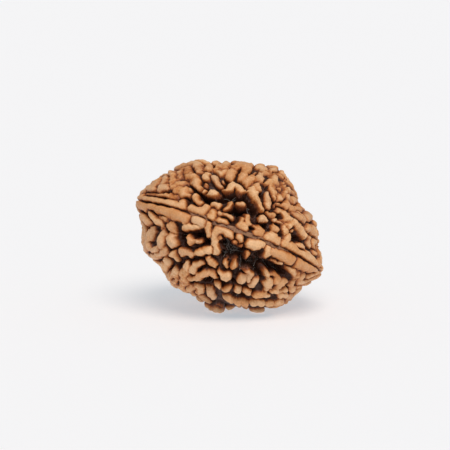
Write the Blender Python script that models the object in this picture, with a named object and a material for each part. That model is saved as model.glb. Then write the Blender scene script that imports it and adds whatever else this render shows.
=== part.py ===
# Rudraksha stone with two faces: one hard, lobed seed stone, lying as found on three low lobes.
# One solid. Its lobes are raised from the body's surface by a formula. Metres, +Z up, floor at z = 0.

import math

import bmesh
import bpy
import numpy as np
from mathutils import Vector

# Driving dimensions
STONE_LENGTH = 0.0220  # tip to tip along the seam
STONE_FRONT = 0.0094  # middle of the stone to its front, along the line of sight
STONE_BACK = 0.0098  # middle of the stone to its back
CLEFT_DEPTH = 0.00062  # lobe tops down to the bottom of the clefts between them
CLEFT_WALL = 0.00012  # plan width of a cleft's wall
HOLLOW_DEPTH = 0.00135  # how much deeper than a cleft an open hollow goes
HOLLOW_WALL = 0.00032
SHOULDER = 0.00052  # largest rounding of a lobe's edge
SHOULDER_IN_MIDDLE = 0.00070  # the same in the middle of either face, where lobes stand freer
LIP_SHOULDER = 0.00022  # the same beside the seam, where the lips meet in a fine line
CRACK_DEPTH = 0.00034  # extra depth of the crack where two lobes meet
CRACK_WIDTH = 0.00013
SEAM_DEPTH = 0.00045
SEAM_WIDTH = 0.00011
CROWN = 0.36  # fall from a lobe's middle to its edge, in half widths
CROWN_IN_MIDDLE = 0.5
STAND_HEIGHT = 0.00810  # from the floor to the stone's middle
UNDERSIDE = 0.00774  # how far the body itself reaches below the middle: its underside is flatter
UNDERSIDE_BLEND = 0.0006
SUBDIVISIONS = 8  # of the ball that the relief is worked out on
MOST_TRIANGLES = 11400
SEED = 11

# The face that looks at the eye is drawn in squares, x to the right and y downwards.
SQUARES_LONG = 200  # tip to tip in the drawing
SQUARE = STONE_LENGTH / SQUARES_LONG
MIDDLE = (228.0, 236.0)  # the stone's middle in the drawing
EYE_DISTANCE = 0.300  # from the eye that the drawing is made from to the stone's middle
EYE_ELEVATION = math.radians(11.0)

# Outline of the body over the lobe tops, in squares from the middle, every 15 degrees clockwise from
# the lower right tip.
TIP_ANGLE = math.radians(21.0)
OUTLINE = (101, 91.5, 90.5, 86, 82, 76.5, 71, 72, 76, 74.5, 86, 87)
OUTLINE += (98.5, 94, 87, 82.5, 75.5, 75.5, 77.5, 85, 83, 79.5, 89, 91)

# The seam, from the left tip to the right tip across the front.
SEAM = [(134.5, 199.5), (145, 201.3), (155, 203.2), (165, 205.2), (175, 208.3), (185, 211), (195, 214.3)]
SEAM += [(205, 218), (213, 221.5), (222, 224.5), (232, 228.5), (246, 233), (259, 238), (272, 243.5)]
SEAM += [(286, 249.5), (299, 256), (311, 263), (320, 270)]

# A lobe is one or more strokes, and a stroke is points of x, y and half width in squares. The number
# before the strokes is how far the lobe stands above the body, or below it.
SWELL = 2.9  # how much wider than drawn a lobe may grow on each side to meet the next one, in squares
SWELL_IN_MIDDLE = 2.5
SWELL_IN_HOLLOW = 0.9
SWELL_BEYOND = 1.0  # added to SWELL beyond the drawing
SWELL_AT_EDGE = 1.6  # added to SWELL where the drawn face turns away
FORK_FROM = 1.0  # how far outside a lobe's strokes a notch between two of them begins, in squares

LIPS = [
    (0.6, [[(136.5, 197.3, 2.2), (147, 198.0, 3.2), (158, 200.2, 3.3), (168, 202.6, 3.3), (177, 204.8, 3.3),
            (181.5, 205.5, 3.6)], [(181.5, 205, 3.4), (181.5, 200.8, 3.0)]]),
    (0.8, [[(136.5, 203.2, 2.8), (147, 206, 4.0), (157, 208.6, 4.5), (167, 211.6, 5.0), (177, 214.6, 5.4),
            (184, 216.2, 4.6)]]),
    (-1.2, [[(144, 193.5, 1.8), (152, 194, 2.1), (158, 194.2, 2.3), (165, 196, 2.1), (174, 197, 1.9)]]),
    (0.4, [[(284, 243.5, 3.0), (291, 246, 4.0), (298, 250.3, 3.8), (305, 254.5, 4.2), (312, 258.7, 4.2),
            (318, 264, 3.0)], [(288, 241, 3.0), (289.5, 237.5, 2.4)]]),
    (0.8, [[(275, 252, 2.4), (281, 255.4, 4.2), (288, 258.7, 4.8), (294, 261, 4.4)]]),
    (0.6, [[(298, 263, 4.0), (305, 266.2, 4.3), (311, 268.8, 3.4), (317, 270.8, 2.0)]]),
]

# Lobes that run over the edge of this face: each first point is on the edge.
EDGE_LOBES = [
    (0, [[(149.5, 186.5, 3.6), (150.5, 188.5, 3.4)],
         [(157, 180.5, 2.2), (154, 183.5, 2.6), (150.5, 187, 2.8)]]),
    (0, [[(164, 178.5, 2.6), (164.5, 182, 2.8)]]),
    (0, [[(171.5, 172.5, 3.2), (171, 178, 3.0), (171, 184, 2.4)]]),
    (0, [[(179.5, 168.5, 3.4), (178.2, 174, 3.0), (177.5, 177, 2.2)]]),
    (0, [[(186, 166, 3.8), (189.5, 173, 5.6), (195, 180, 5.0), (199.5, 185, 3.8)]]),
    (0.8, [[(196, 162.5, 4.8), (197, 167.5, 4.0), (198.5, 170.5, 2.4)]]),
    (0.4, [[(209, 164, 3.8), (208.5, 168, 2.8)]]),
    (0.3, [[(219, 164.5, 4.6), (221.5, 171.5, 5.2)], [(224.5, 164.5, 4.0), (222.5, 171, 4.8)]]),
    (0.4, [[(234, 165.5, 3.8), (231.5, 173, 3.5), (229.8, 177, 2.8)], [(241, 164.5, 4.0), (246, 165.5, 4.4),
            (246.8, 171.5, 4.6), (243, 176, 3.8)]]),
    (-0.8, [[(256, 171, 2.6), (256.5, 172.5, 2.2)]]),
    (-0.4, [[(260, 172, 3.0), (259.5, 176, 3.0), (261.5, 179.5, 2.6)]]),
    (0.4, [[(266, 170.5, 3.6), (271, 171.2, 3.4)]]),
    (0.2, [[(275.5, 174.5, 3.2), (273, 182, 4.0), (273.3, 190, 3.2), (275, 196, 2.2)], [(273, 182, 3.6),
            (268.5, 182.5, 3.0)]]),
    (0.4, [[(286.5, 182, 3.0), (283, 183, 4.2), (281, 188, 2.4)]]),
    (0, [[(287.5, 190, 2.4), (283, 194.5, 3.6), (280, 198, 2.6)]]),
    (-0.4, [[(293.5, 198, 3.2), (290, 197, 3.0)]]),
    (-0.2, [[(302, 208, 3.4), (297, 206.5, 3.4)]]),
    (0.2, [[(310.5, 214, 3.4), (308.3, 218.5, 2.8)]]),
    (0, [[(316, 229.5, 3.6), (310, 227, 3.4)]]),
    (0, [[(318, 239, 2.4), (315, 243.5, 3.4), (317, 248.5, 2.8)]]),
    (0, [[(320, 256, 2.6), (317.8, 254, 2.8)]]),
    (0, [[(320.5, 263.5, 2.4), (319, 262.5, 2.2)]]),
    (0, [[(138.5, 215, 3.2), (143, 218.2, 4.6), (147.5, 221.5, 3.2)]]),
    (-0.4, [[(142.2, 228, 2.6), (143.4, 231, 1.8)]]),
    (0, [[(146, 240, 3.0), (147.8, 235, 3.9), (150.8, 229, 3.3)], [(146, 243, 3.0), (148, 249, 2.6),
            (151, 252.5, 2.4), (154.5, 249, 3.4), (158.5, 243, 4.6), (161, 236, 4.6)]]),
    (0, [[(151.5, 257.5, 3.2), (157.5, 254.5, 4.2), (163, 249.8, 3.3)]]),
    (0.4, [[(163.6, 267.8, 4.0), (165.4, 262.5, 4.0)]]),
    (-0.2, [[(169.5, 277, 3.0), (174.5, 275.5, 3.8), (175, 272.5, 3.0)],
            [(174, 284.5, 3.2), (176.5, 280.5, 3.2)]]),
    (0, [[(180, 287.5, 3.6), (182.8, 281, 4.4), (183, 273, 3.6), (185.3, 266, 4.4)]]),
    (-0.5, [[(188.5, 290, 3.0), (192, 289, 3.2)]]),
    (-0.5, [[(198.5, 292.5, 3.0), (197.5, 288.5, 3.0)]]),
    (-0.2, [[(305, 283.5, 3.4), (301, 282, 4.6), (303.5, 277.2, 4.0)]]),
    (0, [[(319.5, 274, 2.6), (313, 276.2, 3.6), (308.5, 278, 2.4)]]),
    (-0.8, [[(300.5, 289.5, 2.4), (300, 287.5, 1.8)]]),
    (-0.5, [[(294.5, 291.5, 3.4), (293.2, 286.5, 3.0), (294, 282.5, 2.0)]]),
    (-0.3, [[(284.5, 305, 3.4), (280, 304.5, 3.8)]]),
    (-0.6, [[(289, 297.5, 2.0), (283, 296.5, 2.0)]]),
]

FACE_LOBES = [
    (-0.2, [[(158.8, 188.5, 3.2), (161.5, 186, 3.8), (164.8, 187, 3.6)]]),
    (0, [[(174.5, 186.5, 3.2), (177.5, 182.8, 3.6), (183, 182.3, 3.3)]]),
    (0, [[(175.5, 189.5, 3.6), (182, 190, 3.8), (187.5, 188.5, 2.8)],
         [(180, 192.5, 3.2), (186.5, 194, 2.6)]]),
    (0, [[(205, 172.8, 3.3), (204.8, 178, 3.1)]]),
    (0, [[(213, 175.8, 2.7), (217, 180, 3.6), (220.3, 183.6, 3.3)]]),
    (-1.2, [[(224, 179.5, 1.9), (223.5, 182, 1.6)]]),
    (-0.6, [[(203.6, 183.4, 2.1)]]),
    (-0.6, [[(203, 188, 2.6)]]),
    (0.4, [[(209, 191, 3.3), (213.5, 191.8, 3.7), (217, 193.6, 2.2)]]),
    (0.8, [[(235, 182.4, 3.4), (229.8, 186.6, 3.7), (226, 189.8, 2.8)], [(235, 182.4, 3.4), (239.8, 187, 3.2),
            (242.2, 190.3, 2.6)]]),
    (0, [[(252.5, 173.8, 2.4), (252.3, 178, 2.6), (249.5, 181.8, 3.4)]]),
    (0.6, [[(254, 188.6, 4.2), (257, 196, 3.9), (260, 203, 3.2), (263.2, 209.5, 2.3)]]),
    (-0.4, [[(257.5, 184.6, 1.8), (260.5, 188.5, 2.1)]]),
    (0, [[(268.8, 196.4, 3.6), (269.6, 203, 3.0), (270.2, 206.6, 2.2)]]),
    (0, [[(277.5, 203.5, 2.6), (284, 203.3, 2.4), (290, 205.6, 3.4), (294.2, 210, 3.6)]]),
    (0, [[(278.5, 206.5, 2.4), (283.5, 209.4, 2.6), (287, 214, 3.0), (289.3, 219, 2.3)]]),
    (0.2, [[(297.5, 214.5, 4.6), (302.5, 217.5, 4.4)], [(301, 212, 3.4), (305, 216, 2.6)]]),
    (-0.2, [[(268.8, 212.4, 2.2), (274, 214, 2.5)]]),
    (-2.5, [[(277, 219, 1.6), (284.5, 222, 1.6)]]),
    (0.4, [[(263.4, 217.6, 3.7), (267, 218.3, 2.9)]]),
    (0.6, [[(259.5, 227.6, 3.6), (263.2, 230.8, 3.2)], [(257.5, 232, 2.8), (263, 233, 2.4)]]),
    (0.4, [[(268.2, 236.6, 2.6), (273.2, 236.6, 3.8), (278.2, 240.6, 3.9)]]),
    (-1.0, [[(274, 226.4, 2.8), (278.5, 227.4, 3.0)]]),
    (-0.8, [[(287, 227, 3.3), (287.5, 233, 2.6)]]),
    (0.2, [[(289.5, 226, 2.8), (295, 223.8, 2.4), (301, 227, 3.2), (305.2, 232, 3.6), (307, 237.2, 2.8)]]),
    (-2.2, [[(294, 229.5, 2.0)]]),
    (-0.8, [[(301.5, 246.5, 2.6), (306.8, 247.6, 2.6)]]),
    (-1.2, [[(313, 239, 2.0), (313.5, 244.5, 2.2)]]),
    # between the upper left edge and the seam
    (-0.2, [[(194, 194.4, 2.6), (196.2, 199, 3.1), (198.8, 203, 3.2)]]),
    (0.6, [[(190.5, 205.8, 3.7), (196, 209.3, 4.0), (202, 210.3, 3.5), (206.8, 207.5, 2.3)]]),
    (0, [[(213, 203, 3.5), (217, 204.2, 2.8)]]),
    (0.5, [[(213.2, 211.6, 3.7), (211.6, 215.8, 3.2)]]),
    (0, [[(221, 212.8, 1.9), (227, 214.6, 2.3), (230.8, 217.8, 2.6)]]),
    (0.5, [[(220, 219.8, 2.7), (226, 220.6, 3.2)]]),
    (-0.2, [[(230.6, 202, 2.7), (227, 207, 2.5), (223.5, 210.5, 1.8)]]),
    (0, [[(239.5, 201.8, 2.0), (244, 204, 2.6)]]),
    (0.4, [[(242, 219.6, 2.9), (240.5, 224.6, 3.9), (246, 226.6, 3.6)],
           [(248.2, 217, 2.8), (248.8, 223, 2.9)]]),
    # under the seam, from the left
    (0.2, [[(147.5, 210, 2.0), (151, 216, 3.2), (155, 221, 4.2), (159, 224, 3.2)]]),
    (-1.0, [[(157.5, 214.5, 1.9), (163, 217.6, 2.0)]]),
    (0.2, [[(168.6, 226, 3.9), (170.3, 228.4, 3.5)]]),
    (0.2, [[(169.5, 237, 3.8), (171.6, 243, 4.6), (170.6, 245.6, 3.2)]]),
    (0.2, [[(186.8, 238.4, 3.0), (188, 242, 2.4)]]),
    (-1.6, [[(194.5, 241.8, 2.3), (199, 242.2, 2.2)]]),
    (0, [[(174, 251.6, 2.3), (171.6, 256, 2.9), (176, 259, 1.9)]]),
    (0.2, [[(179, 252.4, 3.5), (185, 252, 4.1), (188.5, 255.4, 3.1)]]),
    (0.2, [[(196.2, 253, 3.0), (202, 252, 4.0), (208.3, 250.8, 3.4)]]),
    (0.6, [[(194.5, 219.6, 4.1), (200, 221.6, 4.4)]]),
    (-0.8, [[(182, 227.6, 3.0), (189, 227, 3.1), (196, 227.4, 3.0)]]),
    (0, [[(208.8, 224.6, 2.0), (208, 230, 2.6), (207.5, 234.4, 2.0)]]),
    (1.0, [[(217.5, 229.4, 3.2), (223, 231, 3.4), (229, 234, 3.4), (231.6, 236.6, 2.4)], [(217, 230.5, 3.2),
            (215.2, 238, 2.4), (215.3, 246, 2.4), (217, 252.4, 2.8)]]),
    (-2.0, [[(219.8, 236.4, 2.3)]]),
    (0.2, [[(238.4, 238, 3.5), (241.4, 242, 3.2)]]),
    (-0.8, [[(235, 243, 2.2)]]),
    (-0.6, [[(242.3, 246.2, 2.0)]]),
    (1.0, [[(250.5, 244.4, 4.4), (256, 245.6, 4.8), (262, 244.4, 3.8)]]),
    (-2.0, [[(249, 254, 2.2), (247.5, 259, 1.8)]]),
    (0, [[(269.6, 248.6, 1.6), (269, 254, 2.5), (267.6, 258.6, 2.5)]]),
    (-3.0, [[(277, 262.5, 1.8), (284, 265.5, 1.8)]]),
    (-0.8, [[(290.5, 270, 2.2), (295.5, 273, 2.8), (299.5, 277, 2.6)]]),
    # lower face
    (-0.2, [[(189.8, 271, 3.6), (195, 266.6, 4.2), (201, 263.6, 3.0)]]),
    (0.2, [[(190.5, 279.6, 2.8), (196, 279.6, 3.5), (202, 274.4, 3.9), (208, 271.6, 3.7), (213, 276, 3.1)]]),
    (0.2, [[(208, 260, 2.2), (212, 264.6, 2.8), (214.6, 268, 2.5)]]),
    (0.8, [[(219, 273.6, 2.3), (223.6, 278.8, 5.4), (228.4, 278, 4.8)]]),
    (-0.2, [[(217, 286.8, 3.1)]]),
    (-1.0, [[(227, 264, 2.6), (228.5, 267, 2.0)]]),
    (0, [[(236, 263.4, 2.9), (233.5, 267, 2.6)]]),
    (0.4, [[(243, 278.8, 4.0), (240.5, 283.6, 4.2)],
           [(247, 272.5, 1.9), (249.5, 277, 3.2), (249.5, 281, 2.6)]]),
    (-0.4, [[(258, 282.8, 3.1), (253, 286.6, 2.4)]]),
    (0, [[(265, 271, 2.5), (267.6, 275.6, 2.6)]]),
    (0.4, [[(269.5, 286.8, 4.4), (273.5, 281.8, 3.2)]]),
    (0.2, [[(276, 277.4, 3.0), (279.5, 282, 2.6)], [(281, 286, 3.2), (285.5, 283, 3.0)]]),
    (-0.4, [[(224, 291.2, 3.1), (229, 290.8, 3.2)]]),
    (0, [[(237.4, 292.2, 3.9)]]),
    (-0.2, [[(246, 293.6, 2.6), (252, 294.6, 2.7)]]),
    (0, [[(257.5, 296.4, 3.1), (264, 296, 3.6), (269, 297, 2.9)]]),
    (-0.4, [[(272.5, 293.6, 2.0), (280, 293.4, 2.2), (287, 291.6, 2.2)]]),
    (0, [[(208.4, 291.4, 2.8), (210.4, 296.6, 3.8), (212, 300.2, 2.8)]]),
    (-0.8, [[(227, 300.4, 3.0), (231, 303, 2.7)]]),
    (-0.8, [[(238, 304.4, 3.0)]]),
    (-0.6, [[(245.8, 304.6, 2.7), (248, 308.4, 2.8)]]),
    (-0.5, [[(255.5, 304.8, 3.6), (261.5, 305.6, 3.8)]]),
    (-0.8, [[(271, 305.6, 2.8)]]),
]

# Open hollows between the lobes, as strokes like those of the lobes
HOLLOWS = [
    [(190, 186, 3.0), (196, 191.5, 4.5), (204, 197.5, 5.0), (211, 200, 4.0)],
    [(214, 197, 4.0), (222, 195, 4.5), (232, 194.5, 4.0), (241, 195, 4.5), (249, 198, 5.0), (254, 206, 4.0),
     (257, 213, 3.0)],
    [(226, 210, 3.5), (234, 208, 5.5), (241, 212, 6.0), (247, 210, 4.0)],
    [(234, 217, 4.0), (239, 215.5, 3.0)],
    [(266, 225, 4.0), (271, 224, 3.0)],
    [(283, 214, 2.2), (280, 218.5, 2.6), (283, 226, 2.6)],
    [(290, 238, 4.0), (297, 237, 4.5), (302, 240, 5.0), (311, 240, 4.0)],
    [(176, 231, 3.0), (182, 234, 4.5), (190, 234, 5.0), (198, 234, 5.0), (203, 240, 4.5), (201, 246, 3.5)],
    [(178, 240, 3.5), (182, 246, 4.0)],
    [(222, 240, 3.0), (227, 243, 5.5), (232, 250, 6.0), (239, 254, 5.0), (245, 252, 4.0)],
    [(223, 256, 4.0), (229, 258, 4.0), (236, 258, 4.0), (243, 263, 6.0), (250, 262, 5.0), (256, 268, 5.0)],
    [(262, 256, 4.0), (262, 264, 5.0), (270, 266, 5.0), (278, 269, 4.6), (286, 273, 4.0), (294, 278, 3.0)],
    [(258, 275, 4.0), (262, 280, 4.0)],
    [(202, 284, 3.5), (210, 285, 3.5)],
    [(233, 280, 3.0), (235, 287, 3.0)],
    [(236, 299, 3.0), (244, 300, 3.0), (252, 302, 3.0)],
    [(172, 262, 3.0), (177, 268, 3.0)],
    [(152, 238, 2.6), (152.5, 243, 2.0)],
    [(263, 192, 2.0), (265, 200, 2.2)],
]

# The three low lobes that it stands on: strokes of x and y on the floor, from under the stone's
# middle, and half width, in metres. Two stand in front and one behind.
FEET = [
    [(-0.00215, -0.00215, 0.00058), (-0.00150, -0.00205, 0.00074), (-0.00100, -0.00215, 0.00056)],
    [(0.00285, -0.00225, 0.00062), (0.00350, -0.00215, 0.00066)],
    [(-0.00040, 0.00345, 0.00062), (0.00040, 0.00330, 0.00066)],
]
FOOT_REACH = 0.00005  # how far a foot would reach below the floor if it weren't worn flat

# Lobes grown by rule over the rest of the stone
WIDE_LOBE = (2.4, 4.6)  # smallest and largest half width, in squares
NARROW_LOBE = (2.0, 3.0)
GROWN_GAP = 1.7  # room that a new lobe leaves to the others, in squares
GROWN_LENGTH = (8, 34)  # shortest and longest lobe, in squares
GROW_STEP = 3.0
GROW_TURN = math.radians(26)
GROW_WIDTH_SPREAD = 0.12  # how much a grown lobe's width changes along it
GROW_LIFT_SPREAD = 0.5  # in squares
WIDE_TRIES = 1800
NARROW_TRIES = 2600
EDGE_OF_DRAWING = math.radians(84)  # how far from the line of sight the drawing fills the surface
EDGE_REACH = (math.radians(88), math.radians(108))  # where a lobe that runs over the edge ends
EDGE_STEP = math.radians(3)
EDGE_LEAN = 0.05
EDGE_SPREAD = 1.15  # how much wider such a lobe is at its far end
BACK_SEAM_POINTS = 32
BACK_LIP_RUNS = {  # first and last point of the back seam along each lobe of the two lips
    -1: [(1, 9), (10, 12), (13, 15), (16, 18), (19, 21), (22, 30)],
    1: [(1, 10), (11, 13), (14, 16), (17, 19), (20, 22), (23, 30)],
}
BACK_LIP_HALF_WIDTH = 3.2
BACK_LIP_SIDE = 5.0  # a back lip's middle line to the seam
BACK_LIP_LIFT = 0.5
HOLLOW_EDGE = 5.0  # from where a hollow begins to where it is deepest, in squares
GROWN_HOLLOWS = 16
HOLLOW_WIDTH = (3.0, 6.0)
HOLLOW_LENGTH = (4, 26)
HOLLOW_TAPER = (0.8, 1.0, 0.7)  # its width at one end, in its middle and at its other end
HOLLOW_FREE = 0.6  # share of a hollow's width that grown lobes keep out of
HOLLOW_MARGIN = math.radians(10)  # from the drawing to the first grown hollow
LOWEST_HOLLOW = -0.75  # of a direction's downward part: none under the stone
FAR = 0.0013  # beyond this distance a lobe no longer counts

# Unevenness, each as how far, in squares, how long its waves are, in squares, and its seed
SIDE_WANDER = (5.0, 30, 50)  # lobes beyond the drawing
WANDER = ((1.5, 11, 20), (1.4, 5, 30))  # all lobes
HOLLOW_WANDER = (3.0, 6, 60)
CROOKED = (0.4, 5, 40)  # the line where two lobes meet
LUMPS = ((1.6, 22, 42), (1.7, 8, 43), (1.1, 4.0, 44))  # up and down
NOISE_CELLS = 48  # to a side of the block of random values, which then repeats
CALM = 0.6  # share of the unevenness that the lips lack
CALM_REACH = (5.5, 16.5)  # from the seam, in squares, where the lips' calm begins to end and has ended
LIP_REACH = (3.5, 7.0)  # the same for the lips' small rounding
JOIN = (45, 13.0)  # neighbours have grown together here and there: seed and waves, in squares
JOIN_RANGE = (-0.2, 0.3)
JOIN_SHARE = 0.75  # how much of the line between them is then gone

# Where the surface turns away, by the cosine of its direction to the line of sight
BEYOND_FROM = 0.12
BEYOND_RANGE = 0.5
EDGE_FROM = 0.5
EDGE_RANGE = 0.3
MIDDLE_FROM = 0.6
MIDDLE_RANGE = 0.28

SHARP_ANGLE = math.radians(50)
STONE_COLOUR = (0.56, 0.33, 0.16, 1.0)
STONE_ROUGHNESS = 0.62

right = np.array([1.0, 0.0, 0.0])
sight = np.array([0.0, math.cos(EYE_ELEVATION), -math.sin(EYE_ELEVATION)])
upward = np.array([0.0, math.sin(EYE_ELEVATION), math.cos(EYE_ELEVATION)])


def outline_radius(angle):
    """Distance from the middle to the outline in the drawing, at an angle clockwise from the right."""
    keys = np.array(OUTLINE) * SQUARE
    place = ((angle - TIP_ANGLE) / (2 * math.pi) * len(keys)) % len(keys)
    k = np.floor(place).astype(int)
    t = place - k
    a, b, c, d = (keys[(k + i) % len(keys)] for i in (-1, 0, 1, 2))
    return b + 0.5 * t * (c - a + t * (2 * a - 5 * b + 4 * c - d + t * (3 * (b - c) + d - a)))


def body_radius(directions):
    """Distance from the stone's middle to its surface over the lobe tops."""
    across, rise, depth = directions @ right, directions @ upward, directions @ sight
    outline = outline_radius(np.arctan2(-rise, across))
    reach = np.where(depth < 0, STONE_FRONT, STONE_BACK)
    body = 1 / np.sqrt((across**2 + rise**2) / outline**2 + (depth / reach) ** 2)
    limit = UNDERSIDE / np.maximum(-directions[:, 2], 0.05)
    overlap = np.clip(0.5 + (body - limit) / (2 * UNDERSIDE_BLEND), 0, 1)
    return body + (limit - body) * overlap - UNDERSIDE_BLEND * overlap * (1 - overlap)


def unit(v):
    return v / np.linalg.norm(v, axis=-1, keepdims=True)


def on_body(direction):
    d = unit(np.asarray(direction, float))
    return d * body_radius(d[None])[0]


def drawn(x, y):
    """The point of the body that the drawing's point x, y lies on, from the stone's middle."""
    eye = -sight * EYE_DISTANCE
    aim = right * (x - MIDDLE[0]) * SQUARE - upward * (y - MIDDLE[1]) * SQUARE
    ray = unit(aim - eye)
    near, closest = 0.0, -eye @ ray
    if np.linalg.norm(eye + ray * closest) > np.linalg.norm(on_body(eye + ray * closest)):
        return on_body(eye + ray * closest)
    for _ in range(40):
        half = (near + closest) / 2
        p = eye + ray * half
        if np.linalg.norm(p) > np.linalg.norm(on_body(p)):
            near = half
        else:
            closest = half
    return eye + ray * near


def lobe_of(lift, strokes):
    """A lobe from the drawing, as (lift, strokes of (points, half widths)) in metres."""
    found = [
        (np.array([drawn(x, y) for x, y, _ in stroke]), np.array([w for _, _, w in stroke]) * SQUARE)
        for stroke in strokes
    ]
    return lift * SQUARE, found


def over_the_edge(lobe, rng):
    """The same lobe with each stroke's first point carried on round the body, away from the eye."""
    lift, strokes = lobe
    carried = []
    for points, widths in strokes:
        start = unit(points[0])
        away = unit(start - sight * (start @ sight))
        aside = np.cross(away, sight)
        lean = rng.normal() * EDGE_LEAN
        turn = math.acos(np.clip(start @ -sight, -1, 1))
        end = max(turn + EDGE_STEP, rng.uniform(*EDGE_REACH))
        more = []
        while turn < end:
            turn += EDGE_STEP
            away = unit(away + aside * lean)
            more.insert(0, on_body(-sight * math.cos(turn) + away * math.sin(turn)))
        more_widths = np.linspace(EDGE_SPREAD, 1, len(more)) * widths[0]
        carried.append((np.array([*more, *points]), np.concatenate([more_widths, widths])))
    return lift, carried


def seam_ring():
    """Points along the seam: as drawn across the front, then round the back in the same plane."""
    front = [drawn(x, y) for x, y in SEAM]
    left, end, middle = unit(front[0]), unit(front[-1]), unit(front[len(front) // 2])
    chord = unit(end - left)
    behind = unit(chord * (middle @ chord) - middle)
    start = math.atan2(end @ behind, end @ chord)
    stop = math.atan2(left @ behind, left @ chord) % (2 * math.pi)
    turns = np.linspace(start, stop, BACK_SEAM_POINTS)
    back = [on_body(chord * math.cos(a) + behind * math.sin(a)) for a in turns[1:-1]]
    return np.array(front), np.array([front[-1], *back, front[0]])


def samples(points, widths):
    """A stroke's points close together, for testing whether a new lobe has room."""
    if len(points) == 1:
        return points, widths
    rows, spread = [], []
    for a, b, wa, wb in zip(points, points[1:], widths, widths[1:]):
        n = max(2, int(np.linalg.norm(b - a) / SQUARE))
        t = np.linspace(0, 1, n)[:, None]
        rows.append(a + t * (b - a))
        spread.append(wa + t[:, 0] * (wb - wa))
    return np.concatenate(rows), np.concatenate(spread)


def back_lips(ring):
    """The two lips along the seam behind: long near the tips, in short lobes between."""
    lobes = []
    for side, runs in BACK_LIP_RUNS.items():
        for first, last in runs:
            path = []
            for k in range(first, last + 1):
                along = unit(ring[k + 1] - ring[k - 1])
                out = unit(np.cross(along, ring[k]))
                path.append(on_body(ring[k] + out * side * BACK_LIP_SIDE * SQUARE))
            widths = np.full(len(path), BACK_LIP_HALF_WIDTH * SQUARE)
            lobes.append((BACK_LIP_LIFT * SQUARE, [(np.array(path), widths)]))
    return lobes


class Crowd:
    """The lobes so far, and whether a new one has room among them."""

    def __init__(self, lobes):
        rows = [samples(p, w) for _, strokes in lobes for p, w in strokes]
        self.points = np.concatenate([r[0] for r in rows])
        self.widths = np.concatenate([r[1] for r in rows])

    def room(self, p):
        return (np.linalg.norm(self.points - p, axis=1) - self.widths).min()

    def add(self, points, widths):
        p, w = samples(points, widths)
        self.points = np.concatenate([self.points, p])
        self.widths = np.concatenate([self.widths, w])


def in_drawing(p):
    return unit(p) @ -sight > math.cos(EDGE_OF_DRAWING)


def grown_lobes(lobes, hollows, rng):
    """Lobes that fill the surface which the drawing leaves free: wide ones, then narrow ones between."""
    crowd = Crowd(lobes)
    for points, widths in hollows:
        crowd.add(points, widths * HOLLOW_FREE)
    grown = []
    for sizes, tries in ((WIDE_LOBE, WIDE_TRIES), (NARROW_LOBE, NARROW_TRIES)):
        for _ in range(tries):
            direction = unit(rng.normal(size=3))
            width = rng.uniform(*sizes) * SQUARE
            length = rng.uniform(*GROWN_LENGTH) * SQUARE
            turn = rng.normal() * GROW_TURN
            lift = rng.normal() * GROW_LIFT_SPREAD * SQUARE
            heading = unit(np.cross(direction, rng.normal(size=3)))
            p = on_body(direction)
            if in_drawing(p) or crowd.room(p) < width + GROWN_GAP * SQUARE:
                continue
            path = [p]
            while len(path) * GROW_STEP * SQUARE < length:
                normal = unit(path[-1])
                heading = unit(heading - normal * (heading @ normal))
                sideways = np.cross(normal, heading)
                heading = unit(heading + sideways * math.tan(turn * 0.5))
                p = on_body(path[-1] + heading * GROW_STEP * SQUARE)
                if crowd.room(p) < width + GROWN_GAP * SQUARE or in_drawing(p):
                    break
                path.append(p)
            widths = width * (1 + GROW_WIDTH_SPREAD * rng.normal(size=len(path)).clip(-1.5, 1.5))
            grown.append((lift, [(np.array(path), widths)]))
            crowd.add(*grown[-1][1][0])
    return grown


def foot_lobe(stroke):
    """A low lobe that reaches the floor under the stone."""
    below = np.array([(x, y, -STAND_HEIGHT - FOOT_REACH) for x, y, _ in stroke])
    points = np.array([on_body(p) for p in below])
    lift = (np.linalg.norm(below, axis=1) - np.linalg.norm(points, axis=1)).mean()
    return lift, [(points, np.array([w for _, _, w in stroke]))]


def grown_hollows(rng):
    """Hollows over the surface that the drawing leaves free."""
    hollows = []
    while len(hollows) < GROWN_HOLLOWS:
        direction = unit(rng.normal(size=3))
        heading = unit(np.cross(direction, rng.normal(size=3)))
        width = rng.uniform(*HOLLOW_WIDTH) * SQUARE
        length = rng.uniform(*HOLLOW_LENGTH) * SQUARE
        in_reach = direction @ -sight < math.cos(EDGE_OF_DRAWING + HOLLOW_MARGIN)
        if not in_reach or direction[2] < LOWEST_HOLLOW:
            continue
        middle = on_body(direction)
        points = np.array([on_body(middle + heading * length * t) for t in (-0.5, 0, 0.5)])
        hollows.append((points, width * np.array(HOLLOW_TAPER)))
    return hollows


def whole_stone():
    """Every lobe and hollow of the stone, and the seam's points round it."""
    front_seam, back_seam = seam_ring()
    lobes = [foot_lobe(stroke) for stroke in FEET]
    lobes += [lobe_of(*lobe) for lobe in LIPS + FACE_LOBES]
    rng = np.random.default_rng(SEED)
    lobes += [over_the_edge(lobe_of(*lobe), rng) for lobe in EDGE_LOBES]
    lobes += back_lips(back_seam)
    unseen = grown_hollows(rng)
    lobes += grown_lobes(lobes, unseen, rng)
    hollows = [lobe_of(0, [stroke])[1][0] for stroke in HOLLOWS] + unseen
    return lobes, hollows, np.concatenate([front_seam, back_seam[1:]])


def stroke_gap(points, path, widths):
    """Signed distance from points to a stroke's edge, negative inside, and its half width there."""
    best = np.full(len(points), 1.0)
    width = np.full(len(points), widths[0])
    if len(path) == 1:
        return np.linalg.norm(points - path[0], axis=1) - widths[0], width
    for a, b, wa, wb in zip(path, path[1:], widths, widths[1:]):
        along = b - a
        t = np.clip((points - a) @ along / max(along @ along, 1e-12), 0, 1)
        w = wa + t * (wb - wa)
        gap = np.linalg.norm(points - a - t[:, None] * along, axis=1) - w
        closer = gap < best
        best = np.where(closer, gap, best)
        width = np.where(closer, w, width)
    return best, width


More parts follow.
